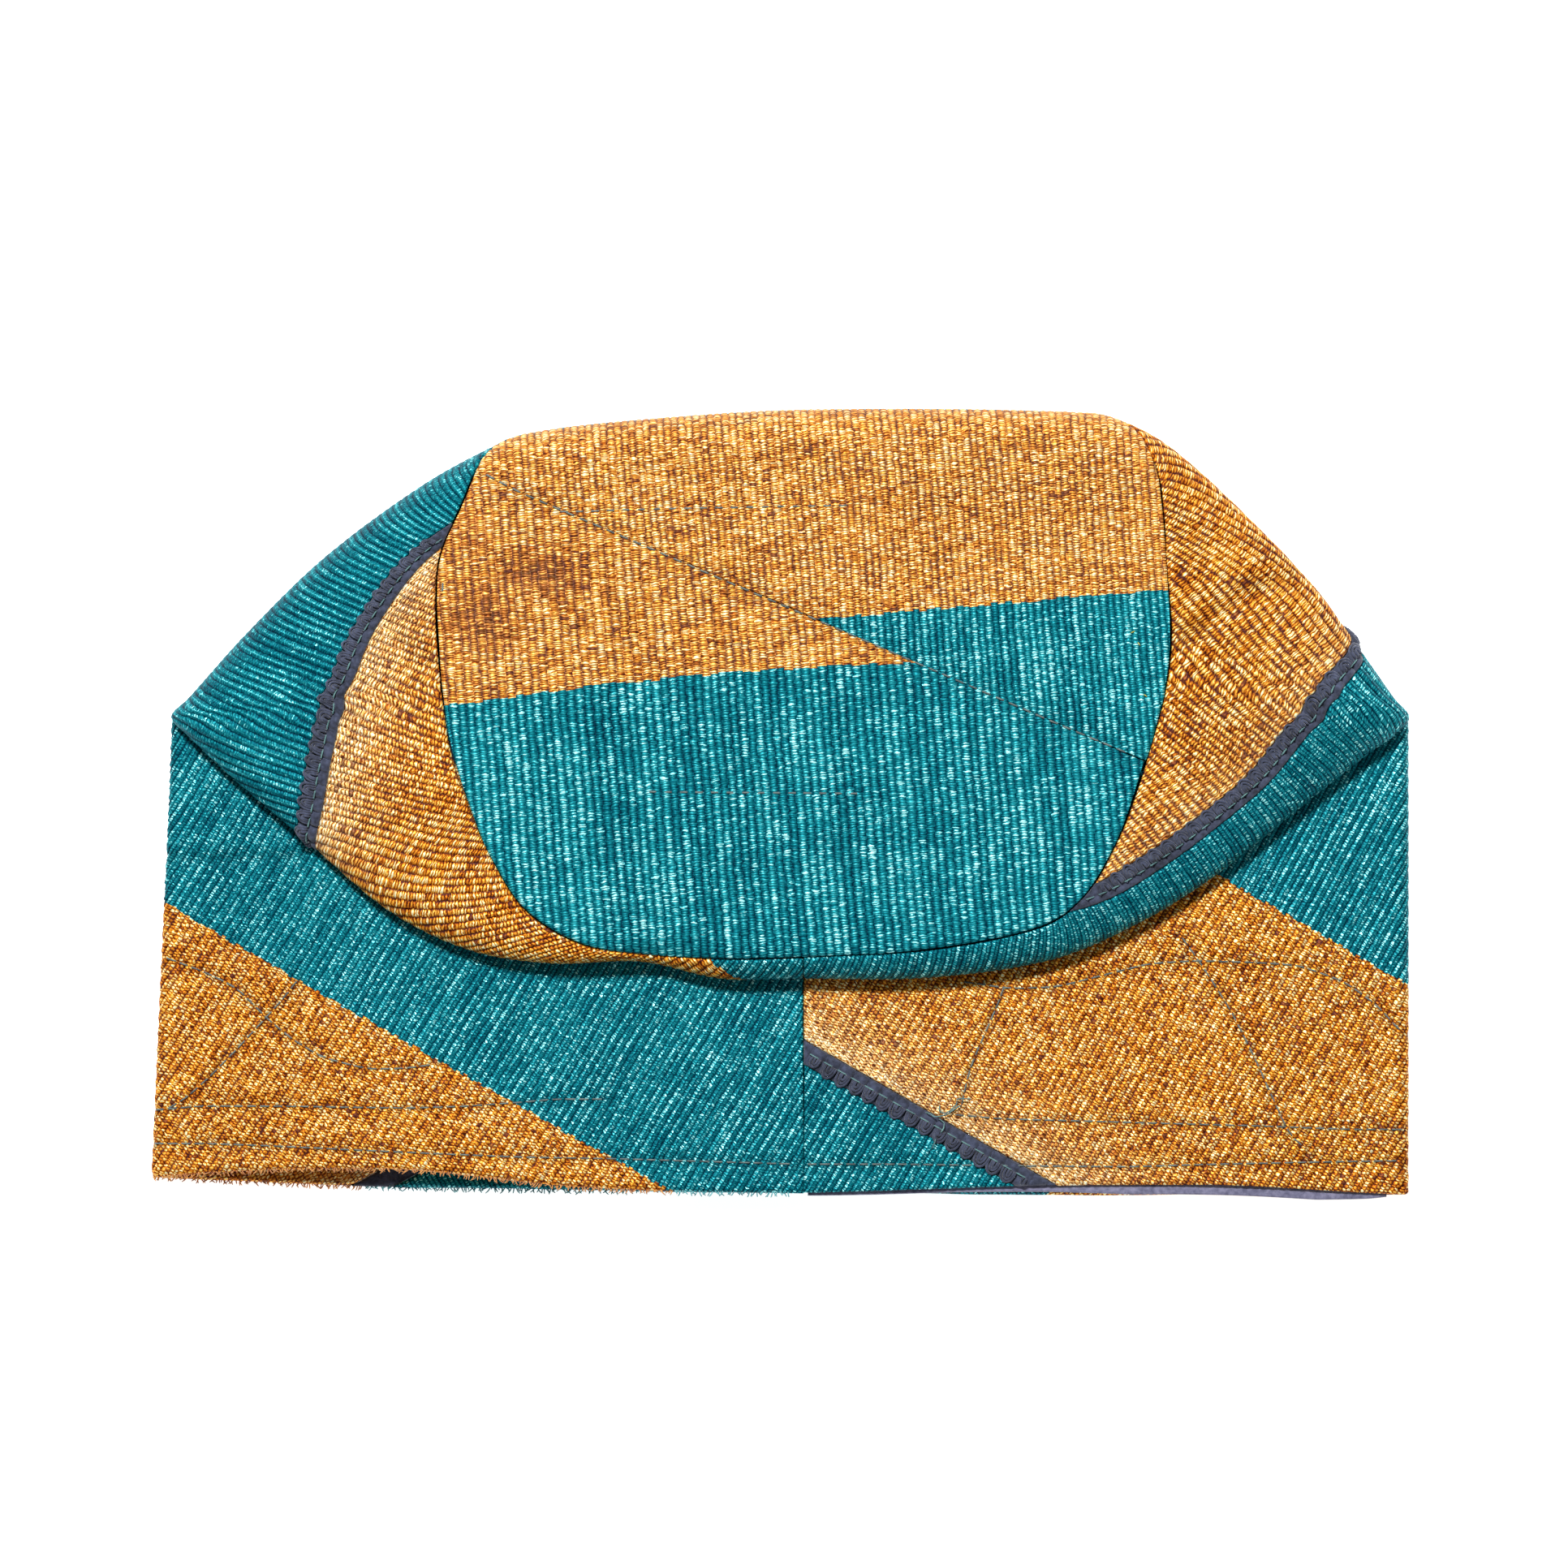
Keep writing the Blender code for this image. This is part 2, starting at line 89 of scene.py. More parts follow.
# around, the edge where the cloth turns over (x, y), the crown seam (x, y), and the puff's width
sections = np.array((
    (0.0, 5.7, -41.2, 5.7, -36.0, 9),
    (28.5, 34.2, -41.0, 32.0, -34.6, 9),
    (57.0, 62.8, -37.0, 59.5, -29.4, 12),
    (76.1, 81.8, -29.4, 71.0, -22.0, 18),
    (95.1, 100.8, -18.0, 79.0, -8.5, 26),
    (114.1, 119.8, -2.9, 84.5, 7.0, 38),
    (133.1, 138.3, 11.6, 89.2, 23.0, 52),
    (138.5, 143.9, 15.6, 90.2, 28.0, 57),
    (141.7, 147.4, 19.8, 90.9, 32.5, 59),
    (145.1, 144.1, 24.1, 91.2, 36.5, 56),
    (152.1, 137.3, 33.6, 91.2, 43.5, 50),
    (163.5, 125.9, 49.5, 90.3, 55.0, 42),
    (182.6, 106.9, 69.3, 89.3, 68.0, 26),
    (197.8, 91.7, 82.8, 87.3, 79.0, 16),
    (207.3, 82.1, 88.3, 81.9, 87.9, 12),
    (216.8, 72.6, 91.0, 72.6, 91.0, 10),
    (281.8, 7.6, 91.8, 7.6, 91.8, 10),
    (319.9, -30.4, 89.6, -30.4, 89.6, 10),
    (348.4, -59.0, 86.2, -59.0, 86.2, 11),
    (357.0, -67.6, 82.8, -67.3, 82.4, 13),
    (373.1, -83.7, 73.9, -73.5, 70.0, 20),
    (395.9, -106.5, 57.1, -79.0, 56.8, 32),
    (414.0, -124.6, 39.5, -79.8, 43.5, 48),
    (428.8, -138.4, 24.1, -78.9, 30.5, 60),
    (432.6, -142.2, 20.0, -78.5, 26.5, 64),
    (436.0, -138.6, 15.9, -78.0, 22.5, 60),
    (446.9, -127.4, 5.4, -76.3, 12.1, 50),
    (463.0, -111.2, -8.3, -72.3, -0.3, 38),
    (483.0, -91.3, -25.2, -67.0, -12.5, 25),
    (502.0, -72.3, -34.5, -59.0, -25.0, 16),
    (521.0, -53.2, -37.6, -46.0, -33.0, 11),
    (542.0, -32.3, -37.2, -30.4, -35.3, 9),
    (561.0, -13.3, -41.2, -12.7, -36.4, 9),
))

# where the folded-over cloth is pushed together under the fold: around, reach and how much
pushed = ((118.0, 17.0, 4.5), (424.0, 21.0, 4.0), (463.0, 14.0, -2.0))

# around, and how far the hem lies above its line
hem = np.array((
    (0, 0.0), (57, 1.7), (98, 1.7), (141.7, -0.5), (240, -0.6),
    (380, 1.2), (432.6, 3.6), (462, 5.3), (492, 5.3), (530, 1.3),
))

# creases pressed into the top: from (x, y) to (x, y), depth and width
creases = (
    (91.7, 36.0, 97.4, 40.6, 0.5, 2.2),
    (97.4, 40.6, 109.5, 49.9, 0.5, 2.2),
    (109.5, 49.9, 120.8, 53.7, 0.4, 2.2),
    (-70.0, 76.0, 84.0, 10.5, 0.4, 3.0),
    (-87.8, 38.1, -79.3, 31.9, 0.5, 1.8),
)

half, sideRadius, foldRadius = cap["half"], cap["sideRadius"], cap["foldRadius"]
hemLine, foldY = cap["hemLine"], cap["foldY"]
rightFold, leftFold, wholeRound = cap["rightFold"], cap["leftFold"], cap["round"]
sideBend = sideRadius * math.pi / 2
midX, midY = lobe["centre"]


def rows(*values):
    return np.stack(values, axis=1)


def mix(first, last, share):
    return first + (last - first) * share


def roundCurve(at, table, k):
    # a smooth closed curve through the table's values, which repeats after once round the cap
    places, values = np.concatenate((table[-2:], table, table[:2]))[:, (0, k)].T
    places[:2] -= wholeRound
    places[-2:] += wholeRound
    at = np.asarray(at, dtype=float) % wholeRound
    i = np.clip(np.searchsorted(places, at, side="right") - 1, 1, len(places) - 3)
    step = places[i + 1] - places[i]
    slopeA = (values[i + 1] - values[i - 1]) / (places[i + 1] - places[i - 1]) * step
    slopeB = (values[i + 2] - values[i]) / (places[i + 2] - places[i]) * step
    t = (at - places[i]) / step
    return (values[i] * (1 + 2 * t) * (1 - t) ** 2 + slopeA * t * (1 - t) ** 2
            + values[i + 1] * t * t * (3 - 2 * t) - slopeB * t * t * (1 - t))


def sectionAt(k, around):
    return roundCurve(around, sections, k)


def hemAt(around):
    return roundCurve(around, hem, 1)


def smoothStep(t):
    t = np.clip(t, 0.0, 1.0)
    return t * t * (3 - 2 * t)


def fadeIn(at, place, reach):
    return smoothStep((at - place) / reach)


def fadeOut(at, place, reach):
    return smoothStep((place - at) / reach)


def cornerDistance(around):
    around = around % wholeRound
    return np.minimum(abs(around - rightFold), abs(around - leftFold))


def isFront(around):
    around = around % wholeRound
    return (around < rightFold) | (around > leftFold)


def inwardAt(around):
    dx = sectionAt(1, around + 0.5) - sectionAt(1, around - 0.5)
    dy = sectionAt(2, around + 0.5) - sectionAt(2, around - 0.5)
    length = np.hypot(dx, dy)
    return -dy / length, dx / length


def layerEnds(y):
    # x of the middle of each side fold at this y
    t = np.clip((y - hemLine) / (foldY - hemLine), 0, 1)
    left = mix(cap["leftXAtHem"], cap["leftXAtFold"], t)
    return cap["rightX"] - half - sideRadius, left + half + sideRadius


def puffAt(fromSide):
    return cap["puff"] * smoothStep(fromSide / cap["puffReach"])


def lowerLayer(around, y):
    # x and z of the cloth's middle below the fold
    right, left = layerEnds(y)
    level = half + 0 * y
    for fold, end, side in ((rightFold, right, 1), (leftFold, left, -1)):
        if abs(around - fold) < sideBend:
            angle = side * (fold - around) / sideRadius
            return (end + side * sideRadius * math.cos(angle) + 0 * y,
                    level + sideRadius + sideRadius * math.sin(angle))
    if rightFold < around < leftFold:
        t = (around - rightFold - sideBend) / (leftFold - rightFold - 2 * sideBend)
        return mix(right, left, t), level
    if around < rightFold:
        x = mix(cap["seamX"], right, around / (rightFold - sideBend)) + 0 * y
    else:
        t = (around - leftFold - sideBend) / (wholeRound - leftFold - sideBend)
        x = mix(left, cap["seamX"], t)
    fromSide = np.minimum(right - x, x - left)
    return x, level + 2 * sideRadius + puffAt(fromSide)


def apexHeight(around):
    fromSide = cornerDistance(around)
    away = smoothStep(fromSide / lobe["cornerReach"])
    sideZ = half + sideRadius
    frontZ = sideZ + sideRadius + puffAt(fromSide - sideRadius)
    front = (mix(sideZ, frontZ, smoothStep(fromSide / (2 * sideRadius)))
             + mix(lobe["cornerRise"], lobe["frontRise"], away))
    back = sideZ + lobe["cornerRise"] + lobe["backRise"] * away
    return np.where(isFront(around), front, back) + 2 * foldRadius


def creaseDepth(x, y):
    depth = 0.0
    for fromX, fromY, toX, toY, deep, wide in creases:
        length = math.hypot(toX - fromX, toY - fromY)
        alongX, alongY = (toX - fromX) / length, (toY - fromY) / length
        along = (x - fromX) * alongX + (y - fromY) * alongY
        past = np.maximum(np.maximum(-along, along - length), 0)
        across = np.hypot((x - fromX) * alongY - (y - fromY) * alongX, past)
        depth = depth + deep * np.exp(-(across / wide) ** 2)
    return depth


def topHeight(x, y, apex, puff, fromEdge):
    # the pillow: steep at its edge and level inside
    t = np.clip(fromEdge / puff, 0, 1)
    fullness = (1 - (1 - t) ** lobe["power"]) ** (1 / lobe["power"])
    out = np.minimum(np.hypot(x - midX, y - midY) / lobe["reach"], 1)
    height = lobe["topHeight"] - half + lobe["dome"] * (1 - out ** 2)
    return mix(apex, height, fullness) - creaseDepth(x, y) * fullness


def edgeAndSeam(around):
    # the folded edge and the crown seam; where they nearly meet, the seam is on the edge
    edgeX, edgeY, seamX, seamY = (sectionAt(i, around) for i in (1, 2, 3, 4))
    nx, ny = inwardAt(around)
    width = np.hypot(seamX - edgeX, seamY - edgeY)
    apart = smoothStep((width - lobe["mergedBelow"]) / lobe["mergeReach"])
    share = np.maximum(1 - width / lobe["frontRoll"], 0)
    return (edgeX + nx * half, edgeY + ny * half,
            mix(edgeX, seamX, apart) + nx * half * share,
            mix(edgeY, seamY, apart) + ny * half * share)


def wayAlong(parts):
    # how far each point of the later parts lies from the first part's end
    line = np.concatenate([parts[0][-1:]] + parts[1:])
    return np.cumsum(np.linalg.norm(np.diff(line, axis=0), axis=1))


def frontLayer(around, hemY, edgeY, away):
    # up the front, and over the fold at its top
    ease = smoothStep((foldY - edgeY) / lobe["cornerEase"])
    out = foldRadius * ease
    centreY = foldY - out
    y = np.linspace(hemY, centreY, samples["front"])
    t = (y - hemY) / (centreY - hemY)
    x, z = lowerLayer(around, y)
    foldX, low = lowerLayer(around, foldY)
    angle = np.radians(np.linspace(-90, 90, samples["fold"]))[1:]
    turned = rows(np.full(len(angle), foldX), centreY + out * np.cos(angle),
                  low + out * (1 + np.sin(angle)))
    lack = mix(lobe["cornerLack"], lobe["frontLack"], away)
    flat = y - hemLine - lack * t ** 6
    return [rows(x, y, z), turned], flat, low + 2 * out, lobe["frontRoll"] * ease


def backLayer(around, hemY, edgeX, edgeY, nx, ny, away):
    # along the table, and out to the folded edge
    fromCorner = cornerDistance(around)
    rollOut = lobe["backRoll"] * smoothStep(fromCorner / (2 * lobe["cornerEase"]))
    startX, startY = edgeX + nx * rollOut, edgeY + ny * rollOut
    y = np.linspace(hemY, startY, samples["back"])
    t = (y - hemY) / (startY - hemY)
    x, z = lowerLayer(around, y)
    rollLow = z[-1]
    corner = rightFold if around < (rightFold + leftFold) / 2 else leftFold
    lack = mix(lobe["cornerLack"], lobe["backLack"], away)
    lack -= 2 * (foldY - sectionAt(2, corner)) * (1 - away)
    # the side fold's cloth comes down to the table within a few millimetres
    lack += (sideRadius + half - rollLow) * (1 - smoothStep(2 * fromCorner / lobe["cornerReach"]))
    return [rows(mix(x, startX, t ** 4), y, z)], y - hemLine - lack * t, rollLow, rollOut


def threadPath(around):
    # one upright thread from the hem to the crown, with each point's height on the flat cloth
    edgeX, edgeY, seamX, seamY = edgeAndSeam(around)
    nx, ny = inwardAt(around)
    hemY = hemLine + hemAt(around)
    apex = apexHeight(around)
    away = smoothStep(cornerDistance(around) / lobe["cornerReach"])
    if isFront(around):
        points, flat, rollLow, rollOut = frontLayer(around, hemY, edgeY, away)
    else:
        points, flat, rollLow, rollOut = backLayer(around, hemY, edgeX, edgeY, nx, ny, away)
    angle = np.radians(np.linspace(-90, 0, samples["roll"]))
    inset = rollOut * (1 - np.cos(angle))
    points.append(rows(edgeX + nx * inset, edgeY + ny * inset,
                       apex + (apex - rollLow) * np.sin(angle)))
    way = wayAlong(points)
    more = sum(size * math.exp(-((around - place) / reach) ** 2) for place, reach, size in pushed)
    heights = [flat, flat[-1] + way * (1 + more / way[-1])]
    width = math.hypot(seamX - edgeX, seamY - edgeY)
    if width > 0.001:
        t = np.linspace(0, 1, samples["top"])[1:] ** 2
        x, y = mix(edgeX, seamX, t), mix(edgeY, seamY, t)
        top = rows(x, y, topHeight(x, y, apex, sectionAt(5, around), width * t))
        heights.append(heights[-1][-1] + wayAlong([points[-1], top]))
        points.append(top)
    return np.concatenate(points), np.concatenate(heights)


def beyondEnds(points, heights):
    # the path runs on a little at both ends, so that the cloth's edges have a direction too
    further = 60
    first = (points[0] - points[2]) / np.linalg.norm(points[0] - points[2])
    last = (points[-1] - points[-3]) / np.linalg.norm(points[-1] - points[-3])
    points = np.concatenate((points[:1] + first * further, points, points[-1:] + last * further))
    return points, np.concatenate(([heights[0] - further], heights, [heights[-1] + further]))


def makeGrid(points, across, along):
    # the cloth's middle surface, with its normals and the places of its rows and columns
    normal = np.cross(np.gradient(points, axis=0), np.gradient(points, axis=1))
    normal /= np.maximum(np.linalg.norm(normal, axis=2, keepdims=True), 1e-9)
    return {"points": points, "normals": normal, "u": (across[0], across[1] - across[0]),
            "v": (along[0], along[1] - along[0])}


def sampleGrid(grid, u, v, lift):
    # a spot on the flat cloth goes to its place on the cap, lifted off the cloth's middle
    fi = np.clip((u - grid["u"][0]) / grid["u"][1], 0, grid["points"].shape[0] - 1.001)
    fj = np.clip((v - grid["v"][0]) / grid["v"][1], 0, grid["points"].shape[1] - 1.001)
    i, j = fi.astype(int), fj.astype(int)
    p, q = (fi - i)[..., None], (fj - j)[..., None]
    place, normal = (mix(mix(g[i, j], g[i + 1, j], p), mix(g[i, j + 1], g[i + 1, j + 1], p), q)
                     for g in (grid["points"], grid["normals"]))
    normal = normal / np.linalg.norm(normal, axis=-1, keepdims=True)
    return place + normal * np.asarray(lift)[..., None]


def foldWall():
    arounds = np.arange(0, wholeRound + 0.01, 0.5)
    heights = np.arange(-5, 205.01, 0.25)
    points = np.empty((len(arounds), len(heights), 3))
    tops = np.empty(len(arounds))
    for i, around in enumerate(arounds):
        path, at = threadPath(around)
        tops[i] = at[-1]
        path, at = beyondEnds(path, at)
        for axis in range(3):
            points[i, :, axis] = np.interp(heights, at, path[:, axis])
    return makeGrid(points, arounds, heights), arounds, tops


wall, wallArounds, wallTops = foldWall()
print("wall folded")


def onWall(around, height, lift):
    # where the cap rests on the table, what stands off the cloth is pressed flat
    around, height, lift = (np.asarray(v, dtype=float) for v in (around, height, lift))
    middle = sampleGrid(wall, around, height, 0 * lift)
    down = middle[..., 2] - sampleGrid(wall, around, height, 0 * lift + 1)[..., 2]
    room = middle[..., 2] / np.maximum(down, 0.05)
    free = cap["freeShare"] * room
    pressed = mix(free, room, 1 - np.exp(-(lift - free) / (room - free)))
    return sampleGrid(wall, around, height, np.where((down > 0.3) & (lift > free), pressed, lift))


def topAt(around):
    return np.interp(around, wallArounds, wallTops)


def frontSpot(x, y):
    # where a spot seen on the front layer lies on the flat cloth
    right, left = layerEnds(y)
    seamX = cap["seamX"]
    onRight = (x - seamX) / (right - seamX) * (rightFold - sideBend)
    onLeft = leftFold + sideBend + (x - left) / (seamX - left) * (wholeRound - leftFold - sideBend)
    return rows(np.where(x > seamX, onRight, onLeft), y - hemLine)


# The crown, in its own directions: across its ribs, and along them from a line near its middle

crown = {
    "lean": 5.0,          # degrees that its ribs lean to the left
    "middle": 17.0,
    "seamGap": 0.3,
    "joinFrom": (-69.6, 76.5),
    "joinTo": (83.7, 10.2),
    "joinGap": 0.04,
    "upperChange": -0.8,
    "lowerChange": -13.2,
    "changeBow": (1.8, -25.0, 55.0),     # of the lower change: how far, where and how widely
    "upperPitch": 1.68,
    "lowerPitch": 1.96,
    "pale": 0.12,
    "stained": 1.6,
    "joinShade": (0.6, 1.5),
    "rise": 0.85,
    "outsideSlope": 8,
}
leanCos, leanSin = math.cos(math.radians(crown["lean"])), math.sin(math.radians(crown["lean"]))
seamHalf = crown["seamGap"] / 2


def crownPlan(across, up):
    return midX + across * leanCos - up * leanSin, midY + across * leanSin + up * leanCos


seamPlaces = np.arange(0, wholeRound, 0.25)
seamEdgeX, seamEdgeY, seamX, seamY = edgeAndSeam(seamPlaces)
seamAngle = np.unwrap(np.arctan2(seamY - midY, seamX - midX))
seamWidth = np.hypot(seamX - seamEdgeX, seamY - seamEdgeY)
seamApex, seamPuff = apexHeight(seamPlaces), sectionAt(5, seamPlaces)
# at each angle round the crown: how far out its seam is, and its width, apex, puff and height
seamValues = (np.hypot(seamX - midX, seamY - midY), seamWidth, seamApex, seamPuff,
              topHeight(seamX, seamY, seamApex, seamPuff, seamWidth))


def crownSpot(x, y):
    # the height at (x, y), and the way from the seam; outside it the cloth goes on steeply
    dx, dy = x - midX, y - midY
    angle = np.arctan2(dy, dx)
    angle = np.where(angle < seamAngle[0], angle + 2 * math.pi, angle)
    reach, width, apex, puff, seamZ = (np.interp(angle, seamAngle, v) for v in seamValues)
    inside = reach - np.hypot(dx, dy)
    z = topHeight(x, y, apex, puff, width + inside)
    z -= crown["outsideSlope"] * np.maximum(-width - inside, 0)
    return z, np.hypot(inside, z - seamZ) * np.sign(inside)


def crownAlong(up, z):
    # the way along each rib's curve, from the crown's middle line
    steps = np.hypot(np.diff(up)[None, :], np.diff(z, axis=1))
    along = np.concatenate((np.zeros((len(z), 1)), np.cumsum(steps, axis=1)), axis=1)
    return along - along[:, np.searchsorted(up, crown["middle"])][:, None]


def crownLines(across):
    # fine lines up the crown: their places up, in plan, their heights, ways in and ways along
    up = np.arange(-75, 80.01, 0.05)
    x, y = crownPlan(across[:, None], up[None, :])
    z, inside = crownSpot(x, y)
    return up, x, y, z, inside, crownAlong(up, z)


def layCrown():
    acrosses = np.arange(-92, 96.01, 0.5)
    alongs = np.arange(-90, 85.01, 0.25)
    up, _, _, z, _, along = crownLines(acrosses)
    points = np.empty((len(acrosses), len(alongs), 3))
    for i, across in enumerate(acrosses):
        upAt = np.interp(alongs, along[i], up)
        points[i] = rows(*crownPlan(across, upAt), np.interp(upAt, up, z[i]))
    return makeGrid(points, acrosses, alongs)


def crownColumns(across):
    # where each column of the crown starts and ends, and where it meets the join
    up, x, y, _, inside, along = crownLines(across)
    inside -= seamHalf
    within = inside > 0
    line = np.arange(len(across))
    ends = []
    for i, before in ((np.argmax(within, axis=1), -1),
                      (len(up) - 1 - np.argmax(within[:, ::-1], axis=1), 1)):
        j = np.clip(i + before, 0, len(up) - 1)
        share = inside[line, i] / np.maximum(inside[line, i] - inside[line, j], 1e-6)
        ends.append(mix(along[line, i], along[line, j], share))
    found = within.any(axis=1)
    side = crownSide(x, y)
    join = np.array([np.interp(0, side[i], along[i]) for i in line])
    return np.where(found, ends[0], 0), np.where(found, ends[1], -1), join


def crownSide(x, y):
    # how far above the join between the two strips
    fromX, fromY = crown["joinFrom"]
    jx, jy = crown["joinTo"][0] - fromX, crown["joinTo"][1] - fromY
    return ((y - fromY) * jx - (x - fromX) * jy) / math.hypot(jx, jy)


crownGrid = layCrown()
print("crown laid")


def onCrown(across, along, lift):
    return sampleGrid(crownGrid, across, along, lift)


def crownFlat(x, y):
    # where a spot seen on the crown lies in its own directions
    dx, dy = x - midX, y - midY
    across, up = dx * leanCos + dy * leanSin, dy * leanCos - dx * leanSin
    along = np.empty(len(across))
    for i, (a, u) in enumerate(zip(across, up)):
        ups = np.linspace(min(u, crown["middle"]), max(u, crown["middle"]), 400)
        z, _ = crownSpot(*crownPlan(a, ups))
        length = np.hypot(np.diff(ups), np.diff(z)).sum()
        along[i] = length if u > crown["middle"] else -length
    return rows(across, along)


# Ribbed cloth: thick ribs across each strip, as a closed sheet with its two faces

weave = {
    "edgeRows": (0.0, 0.3, 0.8, 1.6),
    "waver": 0.2,
    "least": 0.1,         # the shortest rib that is made
    "fadeReach": 0.8,
    "backReach": 0.9,
    "seed": 7,
}
# a rib's shape is its places from 0 to 1, and the share of its height there
wallRib = {"pitch": 1.9, "height": 0.5, "rowStep": 1.55, "columns": 2, "span": (-53, 269),
           "shape": ((0.0, 0.0), (0.15, 0.72), (0.5, 1.0), (0.85, 0.72))}
crownRib = {**wallRib, "height": 0.42, "columns": 1, "span": (-60, 62)}


def makeObject(name, points, faces, attributes=()):
    mesh = bpy.data.meshes.new(name)
    mesh.from_pydata((points * mm).tolist(), [], faces)
    mesh.polygons.foreach_set("use_smooth", np.ones(len(mesh.polygons), dtype=bool))
    for label, values in attributes:
        layer = mesh.attributes.new(label, "FLOAT_VECTOR", "POINT")
        layer.data.foreach_set("vector", np.asarray(values, dtype=np.float32).ravel())
    mesh.update()
    thing = bpy.data.objects.new(name, mesh)
    bpy.context.scene.collection.objects.link(thing)
    return thing


def tidyFaces(faces):
    # corners that fall together are one corner, and what is left as a line goes
    kept = []
    for face in faces:
        corners = [int(v) for k, v in enumerate(face) if v != face[k - 1]]
        if len(set(corners)) > 2:
            kept.append(corners)
    return kept


def smoothWaver(u, v, size, rng):
    # slow uneven shifts of the ribs
    shift = 0.0
    for scale in (70.0, 31.0, 14.0):
        angle = rng.uniform(0, math.pi)
        phase = rng.uniform(0, 2 * math.pi)
        shift = shift + np.sin((u * math.cos(angle) + v * math.sin(angle))
                               * 2 * math.pi / scale + phase) * scale / 70
    return shift * size


def lastColumns(across, low, high, start, stop, limits):
    # the column outside each end moves in to the cloth's outermost point
    for outer, inner in ((start - 1, start), (stop + 1, stop)):
        if not 0 <= outer < len(across):
            continue
        tries = np.linspace(across[inner], across[outer], 60)[1:-1]
        tryLow, tryHigh = limits(tries)
        good = np.nonzero(tryHigh - tryLow > weave["least"])[0]
        k = good[-1] if len(good) else 0
        across[outer] = tries[k]
        ends = (tryLow[k], tryHigh[k]) if len(good) else (low[inner], high[inner])
        low[outer], high[outer] = ends


def ribColumns(limits, rib, rng):
    # the columns of points across the ribs: place, share of the rib's height, fatness and ends
    numbers = np.arange(*rib["span"])
    shape = np.array(rib["shape"])
    across = ((numbers[:, None] + shape[None, :, 0]) * rib["pitch"]).ravel()
    share = np.tile(shape[:, 1], len(numbers))
    fatness = np.repeat(rng.uniform(0.8, 1.15, len(numbers)), len(shape))
    low, high = limits(across)
    start, stop = np.nonzero(high - low > weave["least"])[0][[0, -1]]
    lastColumns(across, low, high, start, stop, limits)
    keep = slice(max(start - 1, 0), stop + 2)
    across, share, fatness, low, high = (v[keep] for v in (across, share, fatness, low, high))
    return across, share, fatness, low, np.maximum(high, low + weave["least"])


def ribRows(low, high, rowStep):
    # each column's points along the rib, closer together at its ends
    step = np.arange(math.floor(low.min() / rowStep), math.ceil(high.max() / rowStep)) * rowStep
    edge = np.array(weave["edgeRows"])
    size = np.minimum((high - low) / (2 * edge[-1] + 0.2), 1)[:, None]
    lowRows = low[:, None] + edge * size
    highRows = high[:, None] - edge[::-1] * size
    middle = np.clip(step[None, :], lowRows[:, -1:], highRows[:, :1])
    return np.concatenate((lowRows, middle, highRows), axis=1)


def numberPoints(fresh, first=0):
    return np.cumsum(fresh.ravel()).reshape(fresh.shape) - 1 + first


def sheetBack(number, innerNumber, inner):
    # the faces of the underside, and those round the edges, where both sides meet
    backs = []
    for p in range(len(inner) - 1):
        across = slice(inner[p], inner[p + 1] + 1)
        left, right = innerNumber[p], innerNumber[p + 1]
        backs.append([left[1], right[1], *number[across, 0][::-1]])
        backs.append([right[-2], left[-2], *number[across, -1]])
        for k in range(1, len(left) - 2):
            if left[k] != left[k + 1] or right[k] != right[k + 1]:
                backs.append([left[k], left[k + 1], right[k + 1], right[k]])
    for first, second in ((innerNumber[0], number[0]), (number[-1], innerNumber[-1])):
        for k in range(len(first) - 1):
            backs.append([first[k], second[k], second[k + 1], first[k + 1]])
    return backs


def ribbedCloth(name, onCap, toFlat, limits, lifts, marks, rib, seed):
    # limits(across) gives each rib line's two ends, and lifts(u, v) the two faces. The weave
    # attribute counts the columns of picks, and gives the way along them in millimetres.
    rng = np.random.default_rng(seed)
    across, share, fatness, low, high = ribColumns(limits, rib, rng)
    along = ribRows(low, high, rib["rowStep"])
    fresh = np.ones(along.shape, dtype=bool)
    fresh[:, 1:] = np.diff(along, axis=1) > 1e-4
    number, count = numberPoints(fresh), int(fresh.sum())
    inner = sorted({0, len(across) - 1} | set(np.nonzero(share == 0)[0].tolist()))
    innerFresh = fresh[inner]
    innerNumber = numberPoints(innerFresh, count)
    for place, same in ((0, along[inner] <= along[inner][:, :1] + 1e-4),
                        (-1, along[inner] >= along[inner][:, -1:] - 1e-4)):
        innerNumber = np.where(same, number[inner][:, place, None], innerNumber)

    def spread(values, chosen):
        return np.broadcast_to(values[:, None], chosen.shape)[chosen]

    allA = np.concatenate((spread(across, fresh), spread(across[inner], innerFresh)))
    allC = np.concatenate((along[fresh], along[inner][innerFresh]))
    u, v = toFlat(allA + smoothWaver(allA, allC, weave["waver"], rng), allC)
    top, lift, fade = lifts(u, v, allA, allC)
    bumps = rng.uniform(0.85, 1.1, count)
    lift[:count] = top[:count] + (rib["height"] * spread(fatness, fresh) * bumps
                                  * (spread(share, fresh) - 1) * fade[:count])
    points = onCap(u, v, lift)
    quads = np.stack((number[:-1, :-1], number[1:, :-1], number[1:, 1:], number[:-1, 1:]), axis=-1)
    faces = tidyFaces(quads.reshape(-1, 4).tolist() + sheetBack(number, innerNumber, inner))
    used = np.zeros(len(points), dtype=bool)
    used[np.concatenate([np.array(face) for face in faces])] = True
    renumber = np.cumsum(used) - 1
    faces = [renumber[face].tolist() for face in faces]
    change, wearAndShade, lay = marks(u, v, allA, allC, points)
    return makeObject(name, points[used], faces, (
        ("weave", rows(allA / rib["pitch"] * rib["columns"], allC, change)[used]),
        ("wearAndShade", wearAndShade[used]),
        ("lay", lay[used]),
    ))


slantCos, slantSin = math.cos(math.radians(cap["slant"])), math.sin(math.radians(cap["slant"]))


